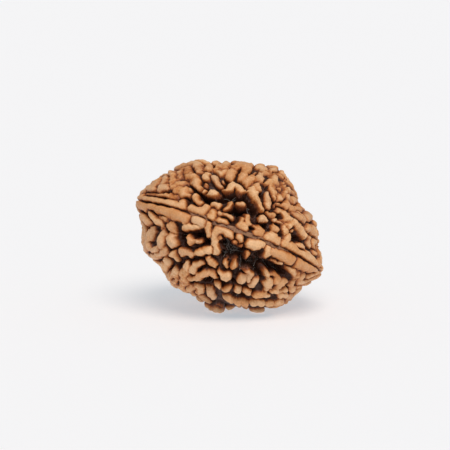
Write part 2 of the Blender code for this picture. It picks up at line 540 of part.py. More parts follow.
def lobe_fields(surface, lobes):
    """The gap from each point to the nearest lobe, to the next one and to the nearest one's own next
    stroke, and the nearest one's half width and lift."""
    first = np.full(len(surface), FAR)
    second = np.full(len(surface), FAR)
    fork = np.full(len(surface), 2 * FAR)
    width = np.full(len(surface), SHOULDER)
    lift = np.zeros(len(surface))
    for raised, strokes in lobes:
        everything = np.concatenate([p for p, _ in strokes])
        margin = FAR + strokes[0][1].max()
        low, high = everything.min(axis=0) - margin, everything.max(axis=0) + margin
        near = np.nonzero(((surface > low) & (surface < high)).all(axis=1))[0]
        if not len(near):
            continue
        gap, half = np.full(len(near), FAR), np.full(len(near), SHOULDER)
        own_next = np.full(len(near), 2 * FAR)
        for path, widths in strokes:
            g, w = stroke_gap(surface[near], path, widths)
            half = np.where(g < gap, w, half)
            own_next = np.where(g < gap, gap, np.minimum(own_next, g))
            gap = np.minimum(gap, g)
        ahead = gap < first[near]
        fork[near] = np.where(ahead, own_next, fork[near])
        second[near] = np.where(ahead, first[near], np.minimum(second[near], gap))
        first[near] = np.where(ahead, gap, first[near])
        width[near] = np.where(ahead, half, width[near])
        lift[near] = np.where(ahead, raised, lift[near])
    return first, second, fork, width, lift


def unevenness(points, squares, wave, seed):
    """Smooth noise of up to so many squares, with waves about so many squares long."""
    table = np.random.default_rng(seed).uniform(-1, 1, (NOISE_CELLS, NOISE_CELLS, NOISE_CELLS))
    place = points / (wave * SQUARE)
    cell = np.floor(place).astype(int)
    t = place - cell
    t = t * t * (3 - 2 * t)
    total = np.zeros(len(points))
    for corner in range(8):
        step = np.array([corner & 1, corner >> 1 & 1, corner >> 2])
        weight = np.where(step, t, 1 - t).prod(axis=1)
        i, j, k = ((cell + step) % NOISE_CELLS).T
        total += weight * table[i, j, k]
    return squares * SQUARE * total


def shift_field(points, squares, wave, seed):
    """The same as a shift in each axis."""
    return np.stack([unevenness(points, squares, wave, seed + axis) for axis in range(3)], axis=1)


def smooth_step(x):
    x = np.clip(x, 0, 1)
    return x * x * (3 - 2 * x)


def hollowness(surface, hollows):
    """1 in the open hollows, 0 away from them."""
    deep = np.zeros(len(surface))
    for path, widths in hollows:
        margin = widths.max() + HOLLOW_EDGE * SQUARE
        near = ((surface > path.min(axis=0) - margin) & (surface < path.max(axis=0) + margin)).all(axis=1)
        gap, _ = stroke_gap(surface[near], path, widths)
        deep[near] = np.maximum(deep[near], smooth_step(0.5 - gap / (HOLLOW_EDGE * SQUARE)))
    return deep


def grown_together(surface, first, boundary):
    """How far the line between two lobes has gone, from 0 to JOIN_SHARE."""
    seed, wave = JOIN
    low, high = JOIN_RANGE
    joined = smooth_step((unevenness(surface, 1 / SQUARE, wave, seed) - low) / (high - low))
    return joined * (-first > boundary) * JOIN_SHARE


def relief(surface, lobes, hollows, seam):
    """Height of the stone above the body at each of its points, below zero nearly everywhere."""
    facing = unit(surface) @ -sight
    beyond = smooth_step((BEYOND_FROM - facing) / BEYOND_RANGE)
    at_edge = smooth_step((EDGE_FROM - abs(facing)) / EDGE_RANGE)
    middle = smooth_step((abs(facing) - MIDDLE_FROM) / MIDDLE_RANGE)
    seam_gap, _ = stroke_gap(surface, seam, np.zeros(len(seam)))
    seam_gap /= SQUARE
    rough = 1 - CALM * smooth_step((CALM_REACH[1] - seam_gap) / (CALM_REACH[1] - CALM_REACH[0]))
    at_seam = smooth_step((LIP_REACH[1] - seam_gap) / (LIP_REACH[1] - LIP_REACH[0]))

    warped = surface + beyond[:, None] * shift_field(surface, *SIDE_WANDER)
    for field in WANDER:
        warped += rough[:, None] * shift_field(surface, *field)
    first, second, fork, width, lift = lobe_fields(warped, lobes)
    hollow = hollowness(surface + shift_field(surface, *HOLLOW_WANDER), hollows)

    swell = SWELL + middle * (SWELL_IN_MIDDLE - SWELL) + beyond * SWELL_BEYOND
    swell += at_edge * (1 - beyond) * SWELL_AT_EDGE
    swell = (swell + (SWELL_IN_HOLLOW - swell) * hollow) * SQUARE
    notch = SHOULDER * smooth_step((FORK_FROM - first / SQUARE) / 2)
    forked = (fork - first) / 2 + notch
    first, second, width = first - swell, second - swell, width + swell
    boundary = (second - first) / 2 + unevenness(surface, *CROOKED)
    inside = np.minimum(np.minimum(-first, forked), boundary)
    joined = grown_together(surface, first, boundary)

    shoulder = SHOULDER + middle * (SHOULDER_IN_MIDDLE - SHOULDER)
    shoulder = np.minimum(width, shoulder + at_seam * (LIP_SHOULDER - shoulder))
    m = np.clip(inside, 0, shoulder)
    drop = shoulder - np.sqrt(shoulder**2 - (shoulder - m) ** 2)
    crown = CROWN + middle * (CROWN_IN_MIDDLE - CROWN)
    crown *= width * np.clip(1 + first / width, 0, 1) ** 2
    crack = CRACK_DEPTH * np.clip(1 - inside / CRACK_WIDTH, 0, 1) ** 2
    top = lift - (drop + crack * (first < 0)) * (1 - joined) - crown
    fall = smooth_step(first / CLEFT_WALL)
    height = top + (np.minimum(top, lift - CLEFT_DEPTH) - top) * fall
    height -= hollow * HOLLOW_DEPTH * smooth_step(first / HOLLOW_WALL)
    for field in LUMPS:
        height += rough * unevenness(surface, *field)
    seam_gap, _ = stroke_gap(warped, seam, np.zeros(len(seam)))
    return height - SEAM_DEPTH * np.exp(-((seam_gap / SEAM_WIDTH) ** 2))


def stone_mesh(subdivisions):
    """The whole stone round its own middle, as a fine mesh."""
    bm = bmesh.new()
    bmesh.ops.create_icosphere(bm, subdivisions=subdivisions, radius=1.0)
    directions = unit(np.array([v.co for v in bm.verts]))
    lobes, hollows, seam = whole_stone()
    surface = directions * body_radius(directions)[:, None]
    points = surface + directions * relief(surface, lobes, hollows, seam)[:, None]
    mesh = bpy.data.meshes.new("rudraksha_stone")
    bm.to_mesh(mesh)
    bm.free()
    mesh.vertices.foreach_set("co", points.astype(np.float32).ravel())
    mesh.update()
    return mesh


def decimated(obj, triangles):
    """The object's mesh with fewer triangles, kept where its form needs them."""
    modifier = obj.modifiers.new("fewer", "DECIMATE")
    modifier.ratio = triangles / len(obj.data.polygons)
    graph = bpy.context.evaluated_depsgraph_get()
    mesh = bpy.data.meshes.new_from_object(obj.evaluated_get(graph))
    obj.modifiers.remove(modifier)
    return mesh


def stand_on_floor(mesh):
    """Centres the stone over the origin and wears its lowest lobes flat on the floor."""
    points = np.array([v.co for v in mesh.vertices])
    low, high = points.min(axis=0), points.max(axis=0)
    shift = Vector(((low[0] + high[0]) / -2, (low[1] + high[1]) / -2, STAND_HEIGHT))
    bm = bmesh.new()
    bm.from_mesh(mesh)
    bmesh.ops.translate(bm, verts=bm.verts, vec=shift)
    everything = bm.verts[:] + bm.edges[:] + bm.faces[:]
    bmesh.ops.bisect_plane(
        bm, geom=everything, dist=1e-7, plane_co=(0, 0, 0), plane_no=(0, 0, 1), clear_inner=True
    )
    rim = [e for e in bm.edges if e.is_boundary]
    bmesh.ops.holes_fill(bm, edges=rim)
    bmesh.ops.triangulate(bm, faces=[f for f in bm.faces if len(f.verts) > 3])
    bm.to_mesh(mesh)
    bm.free()


def stone_material():
    material = bpy.data.materials.new("rudraksha_stone")
    material.use_nodes = True
    shader = material.node_tree.nodes["Principled BSDF"]
    shader.inputs["Base Color"].default_value = STONE_COLOUR
    shader.inputs["Roughness"].default_value = STONE_ROUGHNESS
    shader.inputs["Metallic"].default_value = 0.0
    return material


def main():
    for obj in list(bpy.data.objects):
        bpy.data.objects.remove(obj)
    stone = bpy.data.objects.new("rudraksha_stone", stone_mesh(SUBDIVISIONS))
    bpy.context.scene.collection.objects.link(stone)
    stone.data = decimated(stone, MOST_TRIANGLES)
    stand_on_floor(stone.data)
    stone.data.materials.append(stone_material())
    stone.data.shade_smooth()
    stone.data.set_sharp_from_angle(angle=SHARP_ANGLE)


main()
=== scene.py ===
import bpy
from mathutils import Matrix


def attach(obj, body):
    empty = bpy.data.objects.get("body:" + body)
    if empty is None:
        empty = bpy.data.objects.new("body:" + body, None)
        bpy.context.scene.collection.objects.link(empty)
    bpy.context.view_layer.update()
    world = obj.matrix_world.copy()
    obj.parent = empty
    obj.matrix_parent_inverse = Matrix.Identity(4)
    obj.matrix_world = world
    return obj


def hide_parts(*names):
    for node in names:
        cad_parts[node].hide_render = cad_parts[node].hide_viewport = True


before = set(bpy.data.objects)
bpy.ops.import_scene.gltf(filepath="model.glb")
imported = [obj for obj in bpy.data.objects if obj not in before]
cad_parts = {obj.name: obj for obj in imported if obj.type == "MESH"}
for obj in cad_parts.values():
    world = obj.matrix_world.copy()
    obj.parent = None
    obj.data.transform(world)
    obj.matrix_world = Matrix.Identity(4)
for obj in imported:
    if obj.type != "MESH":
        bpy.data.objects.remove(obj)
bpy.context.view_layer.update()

import math
from functools import partial

import bmesh
import bpy
import numpy as np
from mathutils import Vector

stoneNode = "rudraksha_stone"

# The stone is drawn as the photograph shows it, in squares: x to the right, y downwards.
# A lobe is how far it stands up and its strokes, and a stroke is points of x, y and half width.
drawing = {
    "square": 0.022 / 200,  # 22 mm from tip to tip over 200 squares
    "middle": (228, 236),
    "pageMiddle": (225, 225),  # what the camera aims at
    "pageWidth": 450,
    "eyeDistance": 0.300,
    "eyeElevation": math.radians(11),
    "tipAngle": math.radians(21),  # the outline starts at the lower right tip and goes clockwise
    "outline": (101, 91.5, 90.5, 86, 82, 76.5, 71, 72, 76, 74.5, 86, 87,
                98.5, 94, 87, 82.5, 75.5, 75.5, 77.5, 85, 83, 79.5, 89, 91),
    "seam": [
        (134.5, 199.5), (145, 201.3), (155, 203.2), (165, 205.2), (175, 208.3), (185, 211), (195, 214.3),
        (205, 218), (213, 221.5), (222, 224.5), (232, 228.5), (246, 233), (259, 238), (272, 243.5),
        (286, 249.5), (299, 256), (311, 263), (320, 270),
    ],
    "lips": [
        (0.6, [(136.5, 197.3, 2.2), (147, 198, 3.2), (158, 200.2, 3.3), (168, 202.6, 3.3), (177, 204.8, 3.3),
          (181.5, 205.5, 3.6)], [(181.5, 205, 3.4), (181.5, 200.8, 3)]),
        (0.8, [(136.5, 203.2, 2.8), (147, 206, 4), (157, 208.6, 4.5), (167, 211.6, 5), (177, 214.6, 5.4),
          (184, 216.2, 4.6)]),
        (-1.2, [(144, 193.5, 1.8), (152, 194, 2.1), (158, 194.2, 2.3), (165, 196, 2.1), (174, 197, 1.9)]),
        (0.4, [(284, 243.5, 3), (291, 246, 4), (298, 250.3, 3.8), (305, 254.5, 4.2), (312, 258.7, 4.2),
          (318, 264, 3)], [(288, 241, 3), (289.5, 237.5, 2.4)]),
        (0.8, [(275, 252, 2.4), (281, 255.4, 4.2), (288, 258.7, 4.8), (294, 261, 4.4)]),
        (0.6, [(298, 263, 4), (305, 266.2, 4.3), (311, 268.8, 3.4), (317, 270.8, 2)]),
    ],
    "edgeLobes": [
        (0, [(149.5, 186.5, 3.6), (150.5, 188.5, 3.4)], [(157, 180.5, 2.2), (154, 183.5, 2.6),
          (150.5, 187, 2.8)]),
        (0, [(164, 178.5, 2.6), (164.5, 182, 2.8)]),
        (0, [(171.5, 172.5, 3.2), (171, 178, 3), (171, 184, 2.4)]),
        (0, [(179.5, 168.5, 3.4), (178.2, 174, 3), (177.5, 177, 2.2)]),
        (0, [(186, 166, 3.8), (189.5, 173, 5.6), (195, 180, 5), (199.5, 185, 3.8)]),
        (0.8, [(196, 162.5, 4.8), (197, 167.5, 4), (198.5, 170.5, 2.4)]),
        (0.4, [(209, 164, 3.8), (208.5, 168, 2.8)]),
        (0.3, [(219, 164.5, 4.6), (221.5, 171.5, 5.2)], [(224.5, 164.5, 4), (222.5, 171, 4.8)]),
        (0.4, [(234, 165.5, 3.8), (231.5, 173, 3.5), (229.8, 177, 2.8)],
          [(241, 164.5, 4), (246, 165.5, 4.4), (246.8, 171.5, 4.6), (243, 176, 3.8)]),
        (-0.8, [(256, 171, 2.6), (256.5, 172.5, 2.2)]),
        (-0.4, [(260, 172, 3), (259.5, 176, 3), (261.5, 179.5, 2.6)]),
        (0.4, [(266, 170.5, 3.6), (271, 171.2, 3.4)]),
        (0.2, [(275.5, 174.5, 3.2), (273, 182, 4), (273.3, 190, 3.2), (275, 196, 2.2)],
          [(273, 182, 3.6), (268.5, 182.5, 3)]),
        (0.4, [(286.5, 182, 3), (283, 183, 4.2), (281, 188, 2.4)]),
        (0, [(287.5, 190, 2.4), (283, 194.5, 3.6), (280, 198, 2.6)]),
        (-0.4, [(293.5, 198, 3.2), (290, 197, 3)]),
        (-0.2, [(302, 208, 3.4), (297, 206.5, 3.4)]),
        (0.2, [(310.5, 214, 3.4), (308.3, 218.5, 2.8)]),
        (0, [(316, 229.5, 3.6), (310, 227, 3.4)]),
        (0, [(318, 239, 2.4), (315, 243.5, 3.4), (317, 248.5, 2.8)]),
        (0, [(320, 256, 2.6), (317.8, 254, 2.8)]),
        (0, [(320.5, 263.5, 2.4), (319, 262.5, 2.2)]),
        (0, [(138.5, 215, 3.2), (143, 218.2, 4.6), (147.5, 221.5, 3.2)]),
        (-0.4, [(142.2, 228, 2.6), (143.4, 231, 1.8)]),
        (0, [(146, 240, 3), (147.8, 235, 3.9), (150.8, 229, 3.3)],
          [(146, 243, 3), (148, 249, 2.6), (151, 252.5, 2.4), (154.5, 249, 3.4), (158.5, 243, 4.6),
          (161, 236, 4.6)]),
        (0, [(151.5, 257.5, 3.2), (157.5, 254.5, 4.2), (163, 249.8, 3.3)]),
        (0.4, [(163.6, 267.8, 4), (165.4, 262.5, 4)]),
        (-0.2, [(169.5, 277, 3), (174.5, 275.5, 3.8), (175, 272.5, 3)],
          [(174, 284.5, 3.2), (176.5, 280.5, 3.2)]),
        (0, [(180, 287.5, 3.6), (182.8, 281, 4.4), (183, 273, 3.6), (185.3, 266, 4.4)]),
        (-0.5, [(188.5, 290, 3), (192, 289, 3.2)]),
        (-0.5, [(198.5, 292.5, 3), (197.5, 288.5, 3)]),
        (-0.2, [(305, 283.5, 3.4), (301, 282, 4.6), (303.5, 277.2, 4)]),
        (0, [(319.5, 274, 2.6), (313, 276.2, 3.6), (308.5, 278, 2.4)]),
        (-0.8, [(300.5, 289.5, 2.4), (300, 287.5, 1.8)]),
        (-0.5, [(294.5, 291.5, 3.4), (293.2, 286.5, 3), (294, 282.5, 2)]),
        (-0.3, [(284.5, 305, 3.4), (280, 304.5, 3.8)]),
        (-0.6, [(289, 297.5, 2), (283, 296.5, 2)]),
    ],
    "faceLobes": [
        (-0.2, [(158.8, 188.5, 3.2), (161.5, 186, 3.8), (164.8, 187, 3.6)]),
        (0, [(174.5, 186.5, 3.2), (177.5, 182.8, 3.6), (183, 182.3, 3.3)]),
        (0, [(175.5, 189.5, 3.6), (182, 190, 3.8), (187.5, 188.5, 2.8)],
          [(180, 192.5, 3.2), (186.5, 194, 2.6)]),
        (0, [(205, 172.8, 3.3), (204.8, 178, 3.1)]),
        (0, [(213, 175.8, 2.7), (217, 180, 3.6), (220.3, 183.6, 3.3)]),
        (-1.2, [(224, 179.5, 1.9), (223.5, 182, 1.6)]),
        (-0.6, [(203.6, 183.4, 2.1)]),
        (-0.6, [(203, 188, 2.6)]),
        (0.4, [(209, 191, 3.3), (213.5, 191.8, 3.7), (217, 193.6, 2.2)]),
        (0.8, [(235, 182.4, 3.4), (229.8, 186.6, 3.7), (226, 189.8, 2.8)],
          [(235, 182.4, 3.4), (239.8, 187, 3.2), (242.2, 190.3, 2.6)]),
        (0, [(252.5, 173.8, 2.4), (252.3, 178, 2.6), (249.5, 181.8, 3.4)]),
        (0.6, [(254, 188.6, 4.2), (257, 196, 3.9), (260, 203, 3.2), (263.2, 209.5, 2.3)]),
        (-0.4, [(257.5, 184.6, 1.8), (260.5, 188.5, 2.1)]),
        (0, [(268.8, 196.4, 3.6), (269.6, 203, 3), (270.2, 206.6, 2.2)]),
        (0, [(277.5, 203.5, 2.6), (284, 203.3, 2.4), (290, 205.6, 3.4), (294.2, 210, 3.6)]),
        (0, [(278.5, 206.5, 2.4), (283.5, 209.4, 2.6), (287, 214, 3), (289.3, 219, 2.3)]),
        (0.2, [(297.5, 214.5, 4.6), (302.5, 217.5, 4.4)], [(301, 212, 3.4), (305, 216, 2.6)]),
        (-0.2, [(268.8, 212.4, 2.2), (274, 214, 2.5)]),
        (-2.5, [(277, 219, 1.6), (284.5, 222, 1.6)]),
        (0.4, [(263.4, 217.6, 3.7), (267, 218.3, 2.9)]),
        (0.6, [(259.5, 227.6, 3.6), (263.2, 230.8, 3.2)], [(257.5, 232, 2.8), (263, 233, 2.4)]),
        (0.4, [(268.2, 236.6, 2.6), (273.2, 236.6, 3.8), (278.2, 240.6, 3.9)]),
        (-1, [(274, 226.4, 2.8), (278.5, 227.4, 3)]),
        (-0.8, [(287, 227, 3.3), (287.5, 233, 2.6)]),
        (0.2, [(289.5, 226, 2.8), (295, 223.8, 2.4), (301, 227, 3.2), (305.2, 232, 3.6), (307, 237.2, 2.8)]),
        (-2.2, [(294, 229.5, 2)]),
        (-0.8, [(301.5, 246.5, 2.6), (306.8, 247.6, 2.6)]),
        (-1.2, [(313, 239, 2), (313.5, 244.5, 2.2)]),
        # between the upper left edge and the seam
        (-0.2, [(194, 194.4, 2.6), (196.2, 199, 3.1), (198.8, 203, 3.2)]),
        (0.6, [(190.5, 205.8, 3.7), (196, 209.3, 4), (202, 210.3, 3.5), (206.8, 207.5, 2.3)]),
        (0, [(213, 203, 3.5), (217, 204.2, 2.8)]),
        (0.5, [(213.2, 211.6, 3.7), (211.6, 215.8, 3.2)]),
        (0, [(221, 212.8, 1.9), (227, 214.6, 2.3), (230.8, 217.8, 2.6)]),
        (0.5, [(220, 219.8, 2.7), (226, 220.6, 3.2)]),
        (-0.2, [(230.6, 202, 2.7), (227, 207, 2.5), (223.5, 210.5, 1.8)]),
        (0, [(239.5, 201.8, 2), (244, 204, 2.6)]),
        (0.4, [(242, 219.6, 2.9), (240.5, 224.6, 3.9), (246, 226.6, 3.6)],
          [(248.2, 217, 2.8), (248.8, 223, 2.9)]),
        # under the seam, from the left
        (0.2, [(147.5, 210, 2), (151, 216, 3.2), (155, 221, 4.2), (159, 224, 3.2)]),
        (-1, [(157.5, 214.5, 1.9), (163, 217.6, 2)]),
        (0.2, [(168.6, 226, 3.9), (170.3, 228.4, 3.5)]),
        (0.2, [(169.5, 237, 3.8), (171.6, 243, 4.6), (170.6, 245.6, 3.2)]),
        (0.2, [(186.8, 238.4, 3), (188, 242, 2.4)]),
        (-1.6, [(194.5, 241.8, 2.3), (199, 242.2, 2.2)]),
        (0, [(174, 251.6, 2.3), (171.6, 256, 2.9), (176, 259, 1.9)]),
        (0.2, [(179, 252.4, 3.5), (185, 252, 4.1), (188.5, 255.4, 3.1)]),
        (0.2, [(196.2, 253, 3), (202, 252, 4), (208.3, 250.8, 3.4)]),
        (0.6, [(194.5, 219.6, 4.1), (200, 221.6, 4.4)]),
        (-0.8, [(182, 227.6, 3), (189, 227, 3.1), (196, 227.4, 3)]),
        (0, [(208.8, 224.6, 2), (208, 230, 2.6), (207.5, 234.4, 2)]),
        (1, [(217.5, 229.4, 3.2), (223, 231, 3.4), (229, 234, 3.4), (231.6, 236.6, 2.4)],
          [(217, 230.5, 3.2), (215.2, 238, 2.4), (215.3, 246, 2.4), (217, 252.4, 2.8)]),
        (-2, [(219.8, 236.4, 2.3)]),
        (0.2, [(238.4, 238, 3.5), (241.4, 242, 3.2)]),
        (-0.8, [(235, 243, 2.2)]),
        (-0.6, [(242.3, 246.2, 2)]),
        (1, [(250.5, 244.4, 4.4), (256, 245.6, 4.8), (262, 244.4, 3.8)]),
        (-2, [(249, 254, 2.2), (247.5, 259, 1.8)]),
        (0, [(269.6, 248.6, 1.6), (269, 254, 2.5), (267.6, 258.6, 2.5)]),
        (-3, [(277, 262.5, 1.8), (284, 265.5, 1.8)]),
        (-0.8, [(290.5, 270, 2.2), (295.5, 273, 2.8), (299.5, 277, 2.6)]),
        # lower face
        (-0.2, [(189.8, 271, 3.6), (195, 266.6, 4.2), (201, 263.6, 3)]),
        (0.2, [(190.5, 279.6, 2.8), (196, 279.6, 3.5), (202, 274.4, 3.9), (208, 271.6, 3.7),
          (213, 276, 3.1)]),
        (0.2, [(208, 260, 2.2), (212, 264.6, 2.8), (214.6, 268, 2.5)]),
        (0.8, [(219, 273.6, 2.3), (223.6, 278.8, 5.4), (228.4, 278, 4.8)]),
        (-0.2, [(217, 286.8, 3.1)]),
        (-1, [(227, 264, 2.6), (228.5, 267, 2)]),
        (0, [(236, 263.4, 2.9), (233.5, 267, 2.6)]),
        (0.4, [(243, 278.8, 4), (240.5, 283.6, 4.2)], [(247, 272.5, 1.9), (249.5, 277, 3.2),
          (249.5, 281, 2.6)]),
        (-0.4, [(258, 282.8, 3.1), (253, 286.6, 2.4)]),
        (0, [(265, 271, 2.5), (267.6, 275.6, 2.6)]),
        (0.4, [(269.5, 286.8, 4.4), (273.5, 281.8, 3.2)]),
        (0.2, [(276, 277.4, 3), (279.5, 282, 2.6)], [(281, 286, 3.2), (285.5, 283, 3)]),
        (-0.4, [(224, 291.2, 3.1), (229, 290.8, 3.2)]),
        (0, [(237.4, 292.2, 3.9)]),
        (-0.2, [(246, 293.6, 2.6), (252, 294.6, 2.7)]),
        (0, [(257.5, 296.4, 3.1), (264, 296, 3.6), (269, 297, 2.9)]),
        (-0.4, [(272.5, 293.6, 2), (280, 293.4, 2.2), (287, 291.6, 2.2)]),
        (0, [(208.4, 291.4, 2.8), (210.4, 296.6, 3.8), (212, 300.2, 2.8)]),
        (-0.8, [(227, 300.4, 3), (231, 303, 2.7)]),
        (-0.8, [(238, 304.4, 3)]),
        (-0.6, [(245.8, 304.6, 2.7), (248, 308.4, 2.8)]),
        (-0.5, [(255.5, 304.8, 3.6), (261.5, 305.6, 3.8)]),
        (-0.8, [(271, 305.6, 2.8)]),
    ],
    "hollows": [
        [(190, 186, 3), (196, 191.5, 4.5), (204, 197.5, 5), (211, 200, 4)],
        [(214, 197, 4), (222, 195, 4.5), (232, 194.5, 4), (241, 195, 4.5), (249, 198, 5), (254, 206, 4),
          (257, 213, 3)],
        [(226, 210, 3.5), (234, 208, 5.5), (241, 212, 6), (247, 210, 4)],
        [(234, 217, 4), (239, 215.5, 3)],
        [(266, 225, 4), (271, 224, 3)],
        [(283, 214, 2.2), (280, 218.5, 2.6), (283, 226, 2.6)],
        [(290, 238, 4), (297, 237, 4.5), (302, 240, 5), (311, 240, 4)],
        [(176, 231, 3), (182, 234, 4.5), (190, 234, 5), (198, 234, 5), (203, 240, 4.5), (201, 246, 3.5)],
        [(178, 240, 3.5), (182, 246, 4)],
        [(222, 240, 3), (227, 243, 5.5), (232, 250, 6), (239, 254, 5), (245, 252, 4)],
        [(223, 256, 4), (229, 258, 4), (236, 258, 4), (243, 263, 6), (250, 262, 5), (256, 268, 5)],
        [(262, 256, 4), (262, 264, 5), (270, 266, 5), (278, 269, 4.6), (286, 273, 4), (294, 278, 3)],
        [(258, 275, 4), (262, 280, 4)],
        [(202, 284, 3.5), (210, 285, 3.5)],
        [(233, 280, 3), (235, 287, 3)],
        [(236, 299, 3), (244, 300, 3), (252, 302, 3)],
        [(172, 262, 3), (177, 268, 3)],
        [(152, 238, 2.6), (152.5, 243, 2)],
        [(263, 192, 2), (265, 200, 2.2)],
    ],
    "feet": [
        [(-0.00215, -0.00215, 0.00058), (-0.0015, -0.00205, 0.00074), (-0.001, -0.00215, 0.00056)],
        [(0.00285, -0.00225, 0.00062), (0.0035, -0.00215, 0.00066)],
        [(-0.0004, 0.00345, 0.00062), (0.0004, 0.0033, 0.00066)],
    ],
}

stoneShape = {
    "front": 0.0094,  # the stone's middle to its front, along the line of sight
    "back": 0.0098,
    "standHeight": 0.0081,
    "footReach": 0.00005,  # what the floor cuts off the feet
    "underside": 0.00774,  # the body's own reach downwards: its underside is flatter
    "undersideBlend": 0.0006,
    "cleftDepth": 0.00062,
    "cleftWall": 0.00012,
    "hollowDepth": 0.00135,
    "hollowWall": 0.00032,
    "hollowEdge": 5,  # squares
    "hollowShift": (3, 6, 60),  # sideways, wave, seed
    "shoulder": 0.00052,  # rounding of a lobe's edge
    "shoulderInMiddle": 0.00070,
    "lipShoulder": 0.00022,  # the lips meet in a fine line
    "lipReach": (7, -3.5),  # squares from the seam
    "crown": 0.36,  # fall from a lobe's middle to its edge, in half widths
    "crownInMiddle": 0.5,
    "fork": (1, -2),  # squares outside a lobe's strokes, where they part
    "crackDepth": 0.00034,
    "crackWidth": 0.00013,
    "seamDepth": 0.00045,
    "seamWidth": 0.00011,
    "swell": 2.9,  # squares by which lobes grow until they meet
    "swellInMiddle": 2.5,
    "swellInHollow": 0.9,
    "swellBeyond": 1,  # more, beyond the drawing
    "swellAtEdge": 1.6,  # more, where the drawn face turns away
    # where these start and how far on they are complete, by how squarely a place faces the eye
    "middle": (0.6, 0.28),
    "edge": (0.5, -0.3),
    "beyond": (0.12, -0.5),
    "uneven": ((1.5, 11, 20), (1.4, 5, 30), (0.6, 2.6, 36)),  # squares sideways, wave, seed
    "lumps": ((1.6, 22, 42), (1.7, 8, 43), (1.1, 4, 44), (0.8, 2.1, 46)),  # up and down
    "ragged": (0.9, 3, 47),  # in and out, along a lobe's edge
    "crooked": (0.4, 5, 40),  # of the line where two lobes meet
    "crumbs": (1.6, 2.4, 48),  # on the hollows' floor
    "calm": 0.6,  # the lips along the seam are smoother
    "calmReach": 11,
    "calmAtEdge": 0.45,
    "joinWave": (13, 45),  # where neighbours have grown together, the line between them fades
    "join": (-0.2, 0.5),
    "joinKeep": 0.25,
    "joinLessAtEdge": 0.7,
    "joinDepth": 0.0004,  # how far inside a lobe the finish takes a faded line to be
    "seed": 11,
    "subdivisions": 8,
    "quickSubdivisions": 7,
    "mostTriangles": 196000,
}

seamBand = {  # fibres that fill part of the seam
    "reach": (184, 294),  # where along the drawing
    "fade": 8,  # squares over which it begins and ends
    "facing": 0.3,
    "width": 2.6,
    "depth": 0.00030,
    "strandHeight": 0.00009,
    "strandGap": 1.5,  # squares from one strand to the next
    "strandPhase": 0.6,
    "waves": (6, 49),  # squares and seed
    "waveShare": 1.5,
    "edge": 0.0001,
    "fills": 0.85,  # of the seam's groove
}

grownLobes = {  # lobes that follow a rule where the drawing doesn't reach
    "wide": (2.4, 4.6),
    "narrow": (2, 3),
    "wideTries": 1800,
    "narrowTries": 2600,
    "gap": 1.7,
    "length": (8, 34),
    "step": 3,
    "turn": math.radians(26),
    "liftSpread": 0.5,
    "widthSpread": 0.12,
    "widthLimit": 1.5,
    "wander": (5, 30, 50),
    "edgeOfDrawing": math.radians(84),
    "edgeReach": (math.radians(88), math.radians(108)),
    "edgeStep": math.radians(3),
    "edgeSpread": 1.15,
    "edgeLean": 0.05,
    "backSeamPoints": 32,
    "backLipRuns": {
        -1: [(1, 9), (10, 12), (13, 15), (16, 18), (19, 21), (22, 30)],
        1: [(1, 10), (11, 13), (14, 16), (17, 19), (20, 22), (23, 30)],
    },
    "backLipHalfWidth": 3.2,
    "backLipSide": 5,
    "backLipLift": 0.5,
    "hollows": 16,
    "hollowWidth": (3, 6),
    "hollowLength": (4, 26),
    "hollowTaper": (0.8, 1, 0.7),
    "hollowFree": 0.6,  # of its half width, where no lobe grows
    "hollowMargin": math.radians(10),
    "lowestHollow": -0.75,
}

square = drawing["square"]
lookDown = drawing["eyeElevation"]
right = np.array([1.0, 0.0, 0.0])
sight = np.array([0.0, math.cos(lookDown), -math.sin(lookDown)])
upward = np.array([0.0, math.sin(lookDown), math.cos(lookDown)])
far = 0.0013  # a lobe further off than this doesn't count


def unit(v):
    return v / np.linalg.norm(v, axis=-1, keepdims=True)


def smoothStep(x):
    x = np.clip(x, 0, 1)
    return x * x * (3 - 2 * x)


def stepUp(value, start, reach):
    return smoothStep((value - start) / reach)


def unevenness(points, size, seed):
    # smooth noise from -1 to 1, with waves about as long as size
    cells = 48
    table = np.random.default_rng(seed).uniform(-1, 1, (cells, cells, cells))
    place = points / size
    cell = np.floor(place).astype(int)
    t = place - cell
    t = t * t * (3 - 2 * t)
    total = np.zeros(len(points))
    for corner in range(8):
        step = np.array([corner & 1, corner >> 1 & 1, corner >> 2])
        weight = np.where(step, t, 1 - t).prod(axis=1)
        i, j, k = ((cell + step) % cells).T
        total += weight * table[i, j, k]
    return total


def lumpy(points, squares, wave, seed, share=1.0):
    return share * squares * square * unevenness(points, wave * square, seed)


def shifted(points, squares, wave, seed):
    return np.stack([lumpy(points, squares, wave, seed + axis) for axis in range(3)], axis=1)


# The body over the lobe tops
def outlineRadius(angle):
    keys = np.array(drawing["outline"]) * square
    place = ((angle - drawing["tipAngle"]) / (2 * math.pi) * len(keys)) % len(keys)
    k = np.floor(place).astype(int)
    t = place - k
    a, b, c, d = (keys[(k + i) % len(keys)] for i in (-1, 0, 1, 2))
    return b + 0.5 * t * (c - a + t * (2 * a - 5 * b + 4 * c - d + t * (3 * (b - c) + d - a)))


def bodyRadius(directions):
    s = stoneShape
    across, rise, depth = directions @ right, directions @ upward, directions @ sight
    outline = outlineRadius(np.arctan2(-rise, across))
    reach = np.where(depth < 0, s["front"], s["back"])
    body = 1 / np.sqrt((across**2 + rise**2) / outline**2 + (depth / reach) ** 2)
    limit = s["underside"] / np.maximum(-directions[:, 2], 0.05)
    blend = s["undersideBlend"]
    overlap = np.clip(0.5 + (body - limit) / (2 * blend), 0, 1)
    return body + (limit - body) * overlap - blend * overlap * (1 - overlap)


def onBody(direction):
    d = unit(np.asarray(direction, float))
    return d * bodyRadius(d[None])[0]


